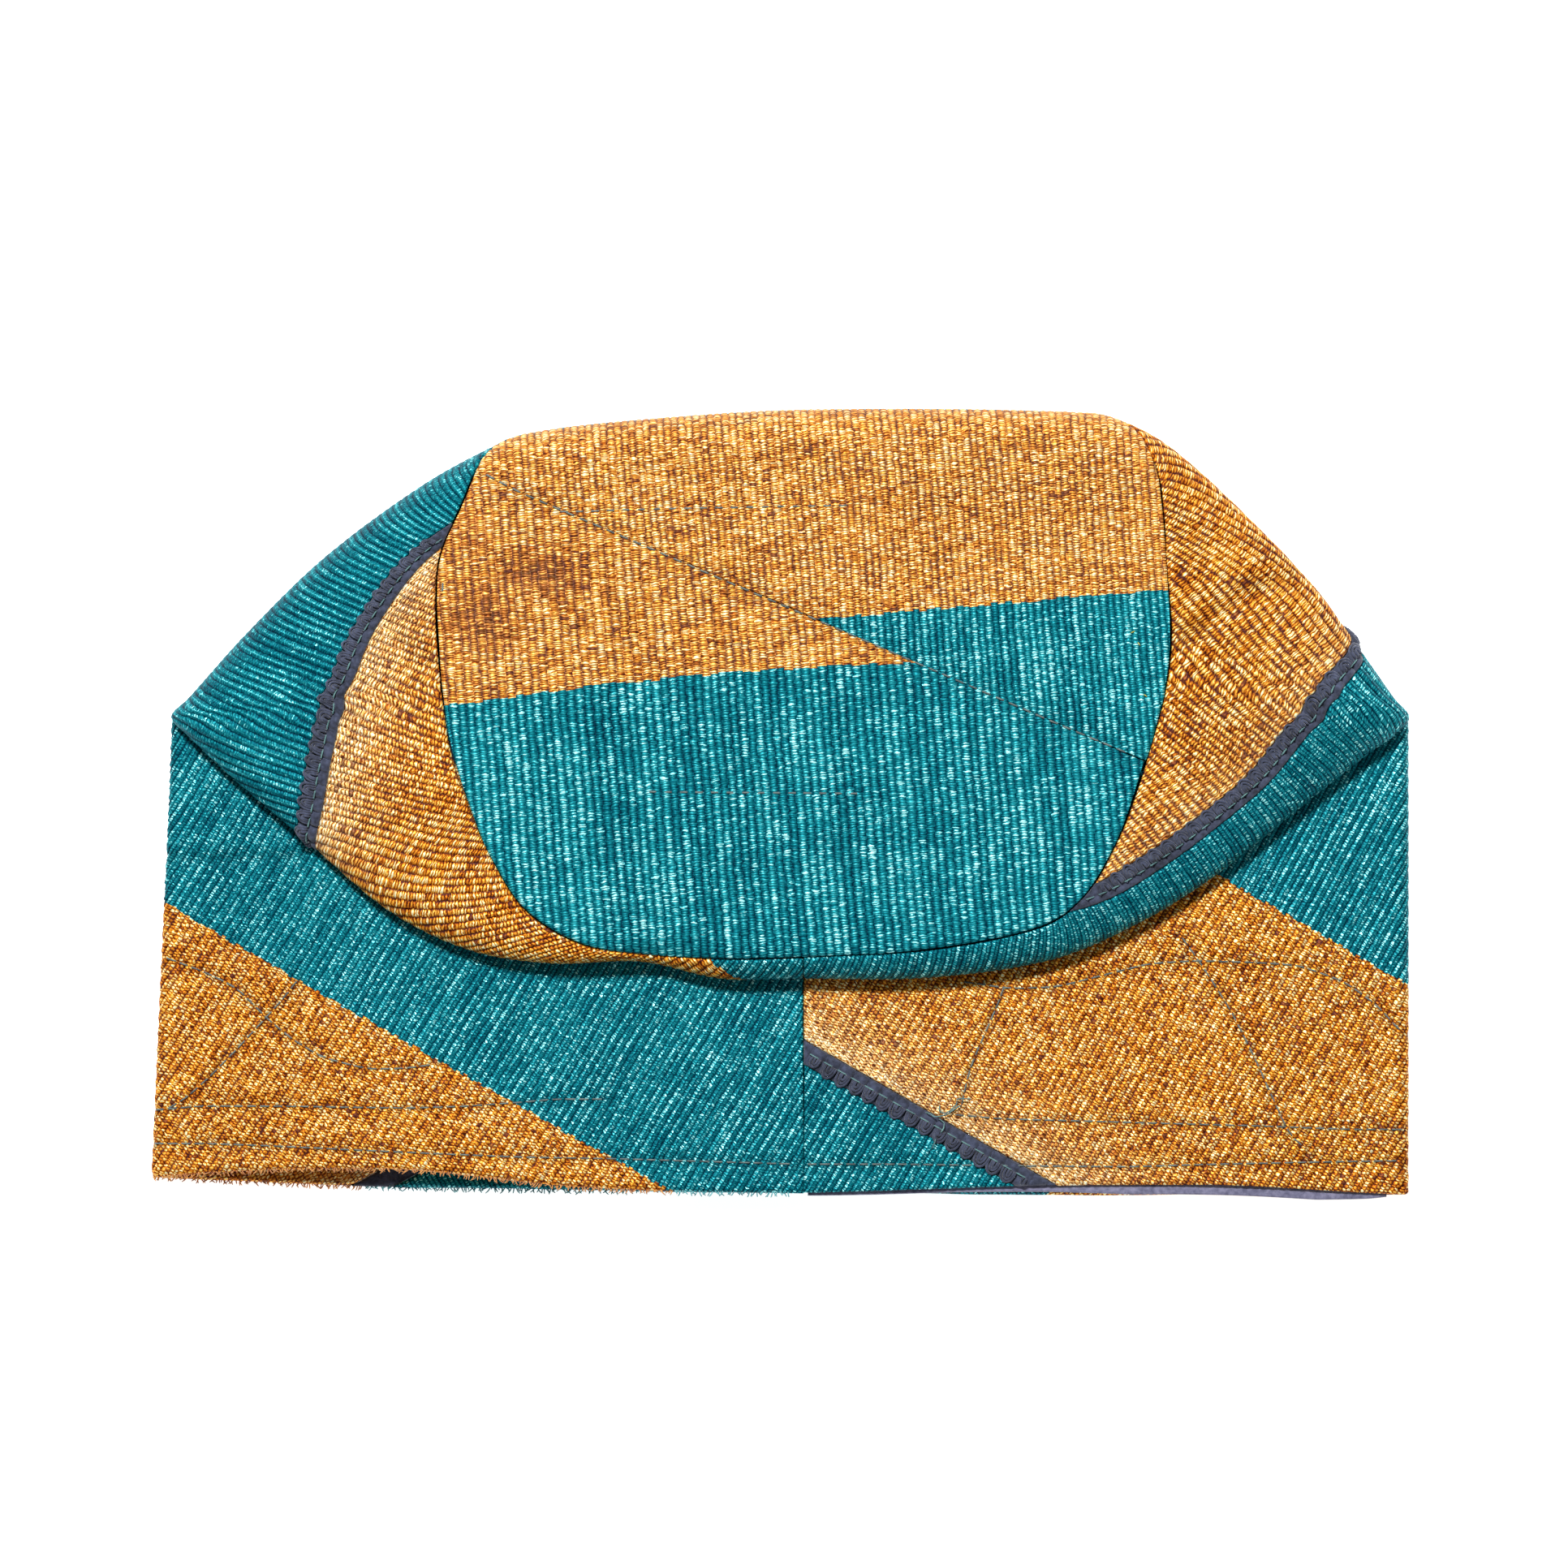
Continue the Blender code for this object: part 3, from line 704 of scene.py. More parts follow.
def ribToFlat(across, along):
    # across the ribs and along them, to around the wall and up it
    return across * slantCos + along * slantSin, -across * slantSin + along * slantCos


def wallEdges(u, v):
    # how far a spot is inside the hem, and inside the front seam and the crown seam
    return v - hemAt(u), np.minimum(np.minimum(u, wholeRound - u) - cap["seamGap"],
                                    topAt(u) - seamHalf - v)


def wallLimits(start, end):
    # each rib's ends: the strip's own sides, the hem, the front seam and the crown seam
    step = 0.1

    def limits(across):
        steps = np.arange(start, end + 0.01, step)
        inside = np.minimum(*wallEdges(*ribToFlat(across[:, None], steps[None, :]))) > 0
        ends = [np.where(inside.any(axis=1), steps[i], start) for i in (
            np.argmax(inside, axis=1), len(steps) - 1 - np.argmax(inside[:, ::-1], axis=1))]
        found = ends[1] > ends[0]
        # a finer look at each end, so that the cut edges run straight
        for k, way in ((0, -step), (1, step)):
            outer = np.clip(ends[k] + way, start, end)
            for _ in range(12):
                middle = (outer + ends[k]) / 2
                good = found & (np.minimum(*wallEdges(*ribToFlat(across, middle))) > 0)
                ends[k], outer = np.where(good, middle, ends[k]), np.where(good, outer, middle)
        return ends
    return limits


def rounding(distance, radius):
    return np.sqrt(np.maximum(1 - (1 - np.clip(distance / radius, 0, 1)) ** 2, 0))


def seamEdge(distance, reach, least):
    # a sewn edge: the cloth dips to the seam, and doesn't close to nothing
    return mix(least, 1, rounding(distance, reach))


def ribFade(fromEdge):
    # the ribs sink to half their height at the cloth's edges
    return 0.5 + 0.5 * smoothStep(fromEdge / weave["fadeReach"])


# the reach and the least thickness of each kind of sewn edge, and how deep stitches pull it in
sewnEdges = {"seam": (0.9, 0.3), "join": (0.6, 0.5), "crownSeam": (1.0, 0.25),
             "crownJoin": (0.5, 0.85), "stitchDip": 0.3, "dipReach": 1.1}
# where the hem is turned in: its depth and its two ends, each with how slowly it fades
hemFold = {"depth": 12.0, "ease": 0.8, "thickness": 0.9, "from": (145.0, 6.0), "to": (577.0, 3.0)}

# threads sewn through the front layer, in (x, y) seen from above
quilting = (
    ((-143.2, -36.4), (-133.5, -40.0), (-126.5, -43.5), (-119.6, -50.5), (-113.3, -55.6),
     (-106.5, -59.6), (-96.0, -62.3), (-87.3, -62.1), (-78.5, -60.9)),
    ((-112.6, -41.7), (-115.2, -45.2), (-120.0, -50.5), (-126.5, -57.5), (-132.5, -63.6),
     (-138.8, -69.3), (-144.9, -72.7)),
    ((-146.2, -72.0), (-135.2, -71.0), (-113.3, -71.0), (-87.3, -71.4), (-74.2, -71.0),
     (-61.0, -70.1), (-52.3, -69.3), (-39.2, -69.3)),
    ((-146.2, -79.8), (-132.5, -79.8), (-117.7, -80.3), (-96.0, -81.3), (-78.5, -82.1),
     (-61.0, -82.8), (-39.2, -83.2), (5.0, -84.5)),
    ((43.0, -41.9), (54.2, -43.5), (64.8, -43.1), (75.5, -40.4), (86.1, -37.7),
     (96.8, -37.0), (110.7, -37.4), (121.3, -38.1), (132.0, -41.9), (139.6, -47.3),
     (146.4, -54.7)),
    ((52.5, -43.1), (51.0, -47.3), (47.7, -54.7), (44.5, -62.3), (43.0, -68.6), (42.4, -71.8)),
    ((94.0, -31.5), (98.5, -37.7), (105.3, -48.4), (110.7, -59.0), (115.0, -68.6),
     (119.2, -77.7), (124.6, -82.4)),
    ((40.9, -72.9), (51.9, -73.9), (70.2, -74.4), (91.5, -75.0), (112.8, -75.6),
     (134.3, -76.5), (146.6, -76.5)),
    ((6.5, -84.5), (27.4, -84.5), (59.5, -84.9), (80.8, -85.1), (102.1, -84.5),
     (123.4, -84.1), (146.6, -83.8)),
    ((-143.2, -13.0), (-128.0, -12.9), (-112.2, -12.5)),
)
quiltPaths = [frontSpot(*np.array(path).T) for path in quilting]


def wayFromLines(u, v, lines):
    # how far each spot is from the nearest of these lines
    nearest = np.full(len(u), 99.0)
    for line in lines:
        for (ax, ay), (bx, by) in zip(line[:-1], line[1:]):
            close = ((u > min(ax, bx) - 4) & (u < max(ax, bx) + 4)
                     & (v > min(ay, by) - 4) & (v < max(ay, by) + 4))
            if not close.any():
                continue
            dx, dy = bx - ax, by - ay
            t = np.clip(((u[close] - ax) * dx + (v[close] - ay) * dy) / (dx * dx + dy * dy), 0, 1)
            gap = np.hypot(u[close] - ax - dx * t, v[close] - ay - dy * t)
            nearest[close] = np.minimum(nearest[close], gap)
    return nearest


def wallLifts(start, end):
    def lifts(u, v, a, c):
        fromHem, fromSeams = wallEdges(u, v)
        fromJoin = np.minimum(c - start, end - c)
        turned = fadeIn(u, *hemFold["from"]) * fadeOut(u, *hemFold["to"])
        deep = smoothStep((hemFold["depth"] - fromHem) / hemFold["ease"] + 1)
        extra = hemFold["thickness"] * turned * deep
        radius = half + extra / 2
        lip = rounding(fromHem, radius)
        side = seamEdge(fromSeams, *sewnEdges["seam"]) * seamEdge(fromJoin, *sewnEdges["join"])
        pulled = np.exp(-(wayFromLines(u, v, quiltPaths) / sewnEdges["dipReach"]) ** 2)
        top = (-extra / 2 + radius * lip) * side - sewnEdges["stitchDip"] * pulled
        fromSewn = np.minimum(fromSeams, fromJoin)
        bottom = (-extra / 2 - radius * lip) * rounding(fromSewn, weave["backReach"])
        return top, bottom, ribFade(np.minimum(fromHem, fromSewn))
    return lifts


# The stripes, measured across the strips. Each strip is gold up to its change and teal beyond,
# and cream beside its joins. Where it's folded over, its picks are as wide as its ribs, and the
# left part there has painted highlights: bright lines along the rib crests, with the rest painted
# darker. Beside the quilting and in the creases of the folded top, shade is painted on. The last
# four are places, each with how slowly it fades.
stripes = {
    "joins": (28.5, 191.6, 354.0),
    "last": 470.0,
    "edge": 2.5,
    "changes": (-50.0, 112.4, 275.5, 435.5),
    "pale": (0.0, 1.0, 0.3, 1.0),
    "paleReach": 5.5,
    "nextPale": 0.5,
    "nextReach": 4.0,
    # how far the painted shade beside the quilting reaches, and how dark creases are painted as
    # shade
    "stitchShadeReach": 1.3,
    "creaseShade": 1.6,
    "foldedFrom": (106.0, 2.0),
    "crestHighlightFrom": (340.0, 40.0),
    "crestHighlightTo": (490.0, 25.0),
    "crestHighlightAbove": (108.0, 6.0),
}


def wallMarks(k, start, end):
    def marks(u, v, a, c, points):
        pale = np.maximum(
            stripes["pale"][k] * np.exp(-np.maximum(c - start, 0) / stripes["paleReach"]),
            stripes["nextPale"] * np.exp(-np.maximum(end - c, 0) / stripes["nextReach"]))
        onTop = fadeIn(v, *stripes["foldedFrom"])
        # painted shade in the creases of the folded top, and beside the quilting stitches
        creased = np.minimum(stripes["creaseShade"] * creaseDepth(*points.T[:2]), 1)
        paintedShade = np.exp(-(wayFromLines(u, v, quiltPaths) / stripes["stitchShadeReach"]) ** 2)
        # painted highlight: bright rib crests on the left part of the folded top
        crestHighlight = (fadeIn(u, *stripes["crestHighlightFrom"]) * fadeOut(u, *stripes["crestHighlightTo"])
                 * fadeIn(v, *stripes["crestHighlightAbove"]))
        return (stripes["changes"][k] - c, rows(pale, 0 * pale, np.maximum(paintedShade, onTop * creased)),
                rows(onTop, crestHighlight, 0 * pale))
    return marks


def settle(piece, nodes, material):
    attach(piece, "root")
    if nodes:
        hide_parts(*nodes)
    piece.data.materials.append(material)
    piece.data.calc_loop_triangles()
    print(piece.name, "made,", len(piece.data.loop_triangles), "triangles")
    return piece


# The materials. Colours are named as seen, 0 to 255, and turned to the renderer's own scale.

def seen(red, green, blue):
    levels = [v / 255 for v in (red, green, blue)]
    return tuple(v / 12.92 if v < 0.04045 else ((v + 0.055) / 1.055) ** 2.4
                 for v in levels) + (1.0,)


def startMaterial(name, roughness, metallic):
    material = bpy.data.materials.new(name)
    material.use_nodes = True
    shader = material.node_tree.nodes["Principled BSDF"]
    shader.inputs["Roughness"].default_value = roughness
    shader.inputs["Metallic"].default_value = metallic
    return material, material.node_tree, shader


def feed(tree, socket, value):
    if isinstance(value, Wire):
        tree.links.new(value.socket, socket)
    else:
        socket.default_value = value


def addNode(tree, kind, inputs, output=0, **settings):
    node = tree.nodes.new("ShaderNode" + kind)
    for name, value in settings.items():
        setattr(node, name, value)
    for name, value in inputs.items():
        feed(tree, node.inputs[name], value)
    return Wire(tree, node.outputs[output])


class Wire:
    # what a node gives out; sums and products with it make further nodes
    def __init__(self, tree, socket):
        self.tree, self.socket = tree, socket

    def calc(self, operation, *others):
        return addNode(self.tree, "Math", dict(enumerate((self, *others))), operation=operation)

    def __add__(self, other):
        return self.calc("ADD", other)

    def __sub__(self, other):
        return self.calc("SUBTRACT", other)

    def __mul__(self, other):
        return self.calc("MULTIPLY", other)

    def __pow__(self, other):
        return self.calc("POWER", other)

    def __abs__(self):
        return self.calc("ABSOLUTE")

    def scaled(self, slope, start=0.0):
        return self.calc("MULTIPLY_ADD", slope, start)

    def parts(self):
        node = self.tree.nodes.new("ShaderNodeSeparateXYZ")
        self.tree.links.new(self.socket, node.inputs[0])
        return [Wire(self.tree, socket) for socket in node.outputs]


def rangeOf(value, fromLow, fromHigh, toLow, toHigh):
    return addNode(value.tree, "MapRange", {
        "Value": value, "From Min": fromLow, "From Max": fromHigh, "To Min": toLow,
        "To Max": toHigh}, "Result")


def mixColour(factor, first, second, blend="MIX"):
    node = first.tree.nodes.new("ShaderNodeMix")
    node.data_type, node.blend_type = "RGBA", blend
    for place, value in ((0, factor), (6, first), (7, second)):
        feed(first.tree, node.inputs[place], value)
    return Wire(first.tree, node.outputs[2])


def colourRamp(factor, stops):
    node = factor.tree.nodes.new("ShaderNodeValToRGB")
    while len(node.color_ramp.elements) < len(stops):
        node.color_ramp.elements.new(1.0)
    for element, (place, colour) in zip(node.color_ramp.elements, stops):
        element.position = place
        element.color = seen(*colour)
    feed(factor.tree, node.inputs["Fac"], factor)
    return Wire(factor.tree, node.outputs["Color"])


def attribute(tree, name):
    return addNode(tree, "Attribute", {}, "Vector", attribute_name=name)


def combine(x, y, z=0.0):
    return addNode(x.tree, "CombineXYZ", {0: x, 1: y, 2: z})


def chance(*place):
    # a random number for each cell
    return addNode(place[0].tree, "TexWhiteNoise", {"Vector": combine(*place)}, "Value",
                   noise_dimensions="3D")


def cloudy(vector, scale, detail=2.0, output="Fac"):
    return addNode(vector.tree, "TexNoise", {"Vector": vector, "Scale": scale, "Detail": detail},
                   output)


def addBump(shader, height, distance, strength):
    bump = addNode(height.tree, "Bump", {"Strength": strength, "Distance": distance,
                                         "Height": height}, "Normal")
    feed(height.tree, shader.inputs["Normal"], bump)


# The metallic weft shows as short bright picks in columns along the ribs, and the picks of
# neighbouring columns are staggered. Each pick's bright middle is a painted highlight, and the
# top stops of the colour ramps are painted highlights and glints.
clothLook = {
    "metallic": 0.35,
    "specular": 0.12,
    "edgeTint": (0.35, 0.35, 0.35, 1.0),
    "roughness": 0.5,
    "bump": 0.5,
    "bumpDepth": 0.0002,
    "goldStray": 0.6,
    "tealStray": 0.5,
    "drift": 1.1,
    "tealPitch": 0.6,
    "jagged": 0.4,
    # the ramps run from the dark between picks, partly painted shade, through the thread's own
    # colour up to painted highlights and glints at the top
    "gold": ((0.0, (64, 22, 14)), (0.13, (128, 56, 14)), (0.27, (176, 92, 20)),
             (0.42, (222, 134, 34)), (0.56, (248, 166, 50)), (0.7, (255, 196, 76)),
             (0.85, (255, 226, 128)), (1.0, (255, 250, 206))),
    "teal": ((0.0, (0, 40, 58)), (0.15, (0, 76, 92)), (0.3, (4, 100, 114)),
             (0.45, (14, 122, 134)), (0.6, (30, 144, 155)), (0.75, (56, 176, 184)),
             (0.88, (104, 218, 226)), (1.0, (186, 255, 253))),
    "paleGold": ((0.0, (52, 34, 40)), (0.25, (156, 88, 36)), (0.45, (246, 180, 92)),
                 (0.7, (255, 228, 164)), (0.95, (255, 252, 236))),
    "ground": (84, 48, 52),
    "groundMarks": 0.4,
}


def pickCells(column, along, ripple, stray, drift, pitch):
    # each pick's own random number and its spot, with a painted highlight in its middle and
    # painted shade towards its ends and sides; nothing is quite straight, as the columns stray
    # and the picks drift
    column = (ripple[0] - 0.5).scaled(stray, column)
    along = (ripple[1] - 0.5).scaled(drift, along)
    number = column.calc("FLOOR")
    columnChance = chance(number, 3.7)
    group = along.scaled(0.45, columnChance).calc("FLOOR")
    groupChance = chance(number, group, 9.1)
    closer = groupChance.calc("GREATER_THAN", 0.75).scaled(0.3, 1.0)
    odd = number.calc("FLOORED_MODULO", 2.0)
    pick = odd.scaled(0.5, along.calc("DIVIDE", pitch) * closer)
    return {
        "number": number, "odd": odd, "columnChance": columnChance, "groupChance": groupChance,
        "pickChance": chance(number, pick.calc("FLOOR"), 1.3),
        "sideChance": chance(number, group, 5.1),
        "core": (abs(pick.calc("FRACT").scaled(2.0, -1.0)) ** 1.3).scaled(-1.0, 1.0),
        "valley": abs(column.calc("FRACT").scaled(2.0, -1.0)) ** 2.5,
    }


def spotOf(cells, depth):
    return cells["core"] * cells["valley"].scaled(-depth, 1.0)


def clothMaterial(name, goldPitch, dullColumn, valleyShade):
    look = clothLook
    material, tree, shader = startMaterial(name, look["roughness"], look["metallic"])
    shader.inputs["Specular IOR Level"].default_value = look["specular"]
    shader.inputs["Specular Tint"].default_value = look["edgeTint"]
    weaveVector = attribute(tree, "weave")
    column, along, change = weaveVector.parts()
    # cream beside a selvedge and brown stains are the cloth's own; the third is painted shade
    pale, stain, paintedShade = attribute(tree, "wearAndShade").parts()
    # how the picks lie, and where the rib crests get a painted highlight
    ladder, crestHighlight, _ = attribute(tree, "lay").parts()
    ripple = cloudy(weaveVector, 0.75, 1.0, "Color").parts()
    blotch = (cloudy(weaveVector, 0.07).scaled(0.24, -0.12)
              + cloudy(weaveVector, 1.9, 1.0).scaled(0.7, -0.35))
    rib = column * 0.5
    fromRib = abs(rib.calc("FRACT").scaled(2.0, -1.0))
    # painted shade in the valleys between the ribs
    ribValleyShade = fromRib ** 4.0

    # gold, cream beside a selvedge, with dark brown marks between its columns; each pick has a
    # painted highlight, and the rib valleys painted shade
    whole = column * ladder.calc("GREATER_THAN", 0.5).scaled(-0.5, 1.0)
    cells = pickCells(whole, along, ripple, look["goldStray"], look["drift"], goldPitch)
    goldSpot = spotOf(cells, 0.6)
    level = (goldSpot * cells["pickChance"].scaled(0.93, 0.37)
             + cells["groupChance"].scaled(0.16, -0.01))
    level = ribValleyShade.scaled(-0.14 - 0.6 * valleyShade, level)
    dirt = stain * cells["pickChance"].scaled(-0.6, 1.1)
    gold = colourRamp((level + blotch) * dirt.scaled(-0.6, 1.0), look["gold"])
    paleLevel = cells["pickChance"].scaled(0.25, cells["core"].scaled(0.7, blotch))
    gold = mixColour(pale, gold, colourRamp(paleLevel, look["paleGold"]))
    edgeMark = cells["valley"] * cells["sideChance"].calc("LESS_THAN", look["groundMarks"])
    patch = cloudy(weaveVector, 0.09) ** 5.0
    bare = cells["pickChance"].calc("LESS_THAN", patch * 0.3) * 0.6
    gold = mixColour(bare.calc("MAXIMUM", edgeMark * 0.8), gold, seen(*look["ground"]))

    # teal, with painted glints in chains, and where it's marked so a painted highlight along each
    # rib's crest, with the rest painted darker
    cells = pickCells(column, along, ripple, look["tealStray"], look["drift"], look["tealPitch"])
    chain = cloudy(combine(cells["number"] * 3.1, along * 0.09), 1.0, 4.0)
    chain = rangeOf(chain, 0.36, 0.62, 0.0, 1.0)
    broken = rangeOf(cloudy(weaveVector, 2.6, 1.0), 0.36, 0.58, 0.25, 1.15)
    # painted glints on the metallic picks, in chains
    glint = cells["pickChance"] ** 1.8 * (broken * chain.scaled(0.7, 0.4)) + chain.scaled(0.2, 0.26)
    glint = glint * cells["odd"].scaled(-dullColumn, 1.15)
    # painted shade at the sides of each column and in the rib valleys
    ground = cells["columnChance"].scaled(0.16, 0.2 - 0.2 * valleyShade)
    ground = cells["valley"].scaled(-0.32, ribValleyShade.scaled(-valleyShade, ground))
    level = spotOf(cells, 0.75).scaled(glint, ground)
    # painted highlight along each rib's crest, in runs; the rest there is painted darker
    crest = (fromRib * 3.0).calc("MINIMUM", 1.0).scaled(-1.0, 1.0)
    run = cloudy(combine(rib.calc("FLOOR") * 2.3, along * 0.06), 1.0, 1.0)
    line = crest * rangeOf(run, 0.36, 0.52, 0.2, 0.75) * cells["core"].scaled(0.35, 0.65)
    level = level * crestHighlight.scaled(-0.35, 1.0) + line * crestHighlight
    teal = colourRamp(level + blotch, look["teal"])

    jagged = cells["columnChance"].scaled(2 * look["jagged"], change)
    colour = mixColour(jagged.calc("GREATER_THAN", look["jagged"]), teal, gold)
    # painted shade beside stitches, in creases and along the crown's join
    shade = rangeOf(paintedShade, 0.0, 1.0, 1.0, 0.75)
    colour = mixColour(1.0, colour, combine(shade, shade, shade), "MULTIPLY")
    feed(tree, shader.inputs["Base Color"], colour)
    addBump(shader, goldSpot, look["bumpDepth"], look["bump"])
    return material


yarn = {"fuzz": 900.0, "patches": 160.0, "sheen": 0.25, "bump": 0.6, "bumpDepth": 0.0003}


def yarnMaterial(name, dark, light, roughness):
    material, tree, shader = startMaterial(name, roughness, 0.0)
    position = addNode(tree, "TexCoord", {}, "Object")
    fuzz = cloudy(position, yarn["fuzz"], 4.0)
    level = fuzz.scaled(0.8, cloudy(position, yarn["patches"]).scaled(0.5, -0.2))
    colour = colourRamp(level, ((0.25, dark), (0.8, light)))
    feed(tree, shader.inputs["Base Color"], colour)
    shader.inputs["Sheen Weight"].default_value = yarn["sheen"]
    addBump(shader, fuzz, yarn["bumpDepth"], yarn["bump"])
    return material


# dark, light and roughness
yarnLooks = {
    "slate_selvedge_yarn": ((20, 25, 42), (82, 90, 118), 0.85),
    "slate_hem_facing": ((84, 84, 112), (156, 154, 184), 0.6),
    "grey_green_thread": ((58, 70, 74), (134, 150, 144), 0.6),
    "pale_green_thread": ((58, 92, 100), (120, 172, 166), 0.6),
    "yellow_lint": ((150, 150, 40), (225, 220, 110), 0.6),
    "gold_fibre": ((160, 84, 24), (255, 186, 84), 0.5),
    "teal_fibre": ((0, 96, 110), (130, 226, 230), 0.5),
}

asoOke = clothMaterial("metallic_aso_oke", goldPitch=0.8, dullColumn=0.32, valleyShade=0.16)
crownCloth = clothMaterial("crown_aso_oke", goldPitch=0.6, dullColumn=0.25, valleyShade=0.0)
slateYarn, facingCloth, greyThread, paleThread, yellowThread, goldFibre, tealFibre = (
    yarnMaterial(name, *look) for name, look in yarnLooks.items())
print("materials mixed")


edge = stripes["edge"]
starts = [0.0] + [join + edge for join in stripes["joins"]]
ends = [join - edge for join in stripes["joins"]] + [stripes["last"]]
for k, (start, end) in enumerate(zip(starts, ends)):
    strip = ribbedCloth("wall_cloth_%d" % (k + 1), onWall, ribToFlat, wallLimits(start, end),
                        wallLifts(start, end), wallMarks(k, start, end), wallRib,
                        weave["seed"] + int(start))
    settle(strip, ["wall_strip_%d" % (k + 1)], asoOke)


# The crown's two strips, joined on the slant

# brown marks: x, y, width, height and strength
crownStains = ((-56.0, 53.0, 11.0, 5.0, 0.9), (-69.0, 43.0, 8.0, 8.0, 0.8),
               (-72.0, 62.0, 5.0, 6.0, 0.5))


def crownLimits(upper):
    def limits(across):
        low, high, join = crownColumns(across)
        gap = crown["joinGap"] / 2
        return (np.maximum(low, join + gap), high) if upper else (low, np.minimum(high, join - gap))
    return limits


def crownLifts(u, v, a, c):
    x, y, _ = onCrown(u, v, np.zeros(len(u))).T
    fromSeam = crownSpot(x, y)[1] - seamHalf
    fromJoin = abs(crownSide(x, y)) - crown["joinGap"] / 2
    side = (seamEdge(fromSeam, *sewnEdges["crownSeam"])
            * seamEdge(fromJoin, *sewnEdges["crownJoin"]))
    fromSewn = np.minimum(fromSeam, fromJoin)
    return (crown["rise"] * side, -half * rounding(fromSewn, weave["backReach"]),
            ribFade(fromSewn))


def crownMarks(upper):
    def marks(u, v, a, c, points):
        if upper:
            change = v - crown["upperChange"]
        else:
            bow, place, reach = crown["changeBow"]
            change = v - crown["lowerChange"] - bow * np.maximum(1 - ((u - place) / reach) ** 2, 0)
        x, y, _ = points.T
        stain = 0 * u
        for stainX, stainY, wide, tall, strength in crownStains:
            stain = np.maximum(stain, strength * np.exp(
                -((x - stainX) / wide) ** 2 - ((y - stainY) / tall) ** 2))
        # painted shade along the groove of the crown's join
        shade, near = crown["joinShade"]
        shaded = shade * np.exp(-abs(crownSide(x, y)) / near)
        wearAndShade = rows(0 * u + crown["pale"], crown["stained"] * stain, shaded)
        return change, wearAndShade, np.zeros((len(u), 3))
    return marks


for part, upper in (("upper", True), ("lower", False)):
    strip = ribbedCloth("crown_cloth_" + part, onCrown, lambda u, v: (u, v), crownLimits(upper),
                        crownLifts, crownMarks(upper), {**crownRib, "pitch": crown[part + "Pitch"]},
                        weave["seed"] + 40 + int(upper))
    settle(strip, ["crown_strip_" + part], crownCloth)


# Thread and yarn, laid on the cloth as tubes

def tubeFaces(number):
    # round each tube's rings of points, with both ends closed
    here, ahead = number[:, :-1], number[:, 1:]
    quads = np.stack((ahead, np.roll(ahead, -1, axis=2), np.roll(here, -1, axis=2), here), axis=-1)
    return quads.reshape(-1, 4).tolist() + number[:, 0].tolist() + number[:, -1, ::-1].tolist()


def threads(name, lay, paths, radius, material, sides=6):
    # each path is a row of (u, v, lift), and all paths have as many points
    paths = np.asarray(paths, dtype=float)
    count, length, _ = paths.shape
    ahead = np.gradient(paths, axis=1)[..., :2]
    ahead /= np.maximum(np.linalg.norm(ahead, axis=2, keepdims=True), 1e-6)
    angle = 2 * math.pi * np.arange(sides) / sides
    size = np.full(length, radius)
    size[[0, -1]] *= 0.6
    ring = size[None, :, None] * np.cos(angle)
    u = paths[..., 0, None] - ahead[..., 1, None] * ring
    v = paths[..., 1, None] + ahead[..., 0, None] * ring
    lift = paths[..., 2, None] + size[None, :, None] * np.sin(angle)
    points = lay(u.ravel(), v.ravel(), lift.ravel())
    piece = makeObject(name, points, tubeFaces(np.arange(u.size).reshape(u.shape)))
    return settle(piece, [], material)


stitch = {"length": 2.4, "gap": 0.6, "thread": 0.19, "crownThread": 0.22, "lift": 0.62,
          "shape": ((0.0, -0.45), (0.12, -0.05), (0.3, 0.0), (0.7, 0.0), (0.88, -0.05),
                    (1.0, -0.45))}


def alongLine(line):
    # the line's length, and what finds its points from their way along it
    line = np.asarray(line, dtype=float)
    far = np.concatenate(([0], np.cumsum(np.linalg.norm(np.diff(line, axis=0), axis=1))))
    return far[-1], lambda at: rows(*(np.interp(at, far, values) for values in line.T))


def stitchPaths(line, length, gap, lift):
    # a running stitch along a line of (u, v): each stitch comes up and goes down again
    end, spot = alongLine(line)
    share, rise = np.array(stitch["shape"]).T
    return [np.column_stack((spot(start + share * length), lift + rise))
            for start in np.arange(0, end - length, length + gap)]


def smoothLine(line, step=1.0):
    # a soft curve through the given points
    end, spot = alongLine(line)
    rough = spot(np.arange(0, end, step))
    for _ in range(6):
        rough[1:-1] = (rough[:-2] + 2 * rough[1:-1] + rough[2:]) / 4
    return rough


quiltStitches = []
for line in quiltPaths[:-1]:
    quiltStitches += stitchPaths(smoothLine(line), stitch["length"], stitch["gap"], stitch["lift"])
quilt = threads("quilting_thread", onWall, quiltStitches, stitch["thread"],
                greyThread)


# The selvedges: slate yarn in thick cross ribs, with loops on one side and a running stitch

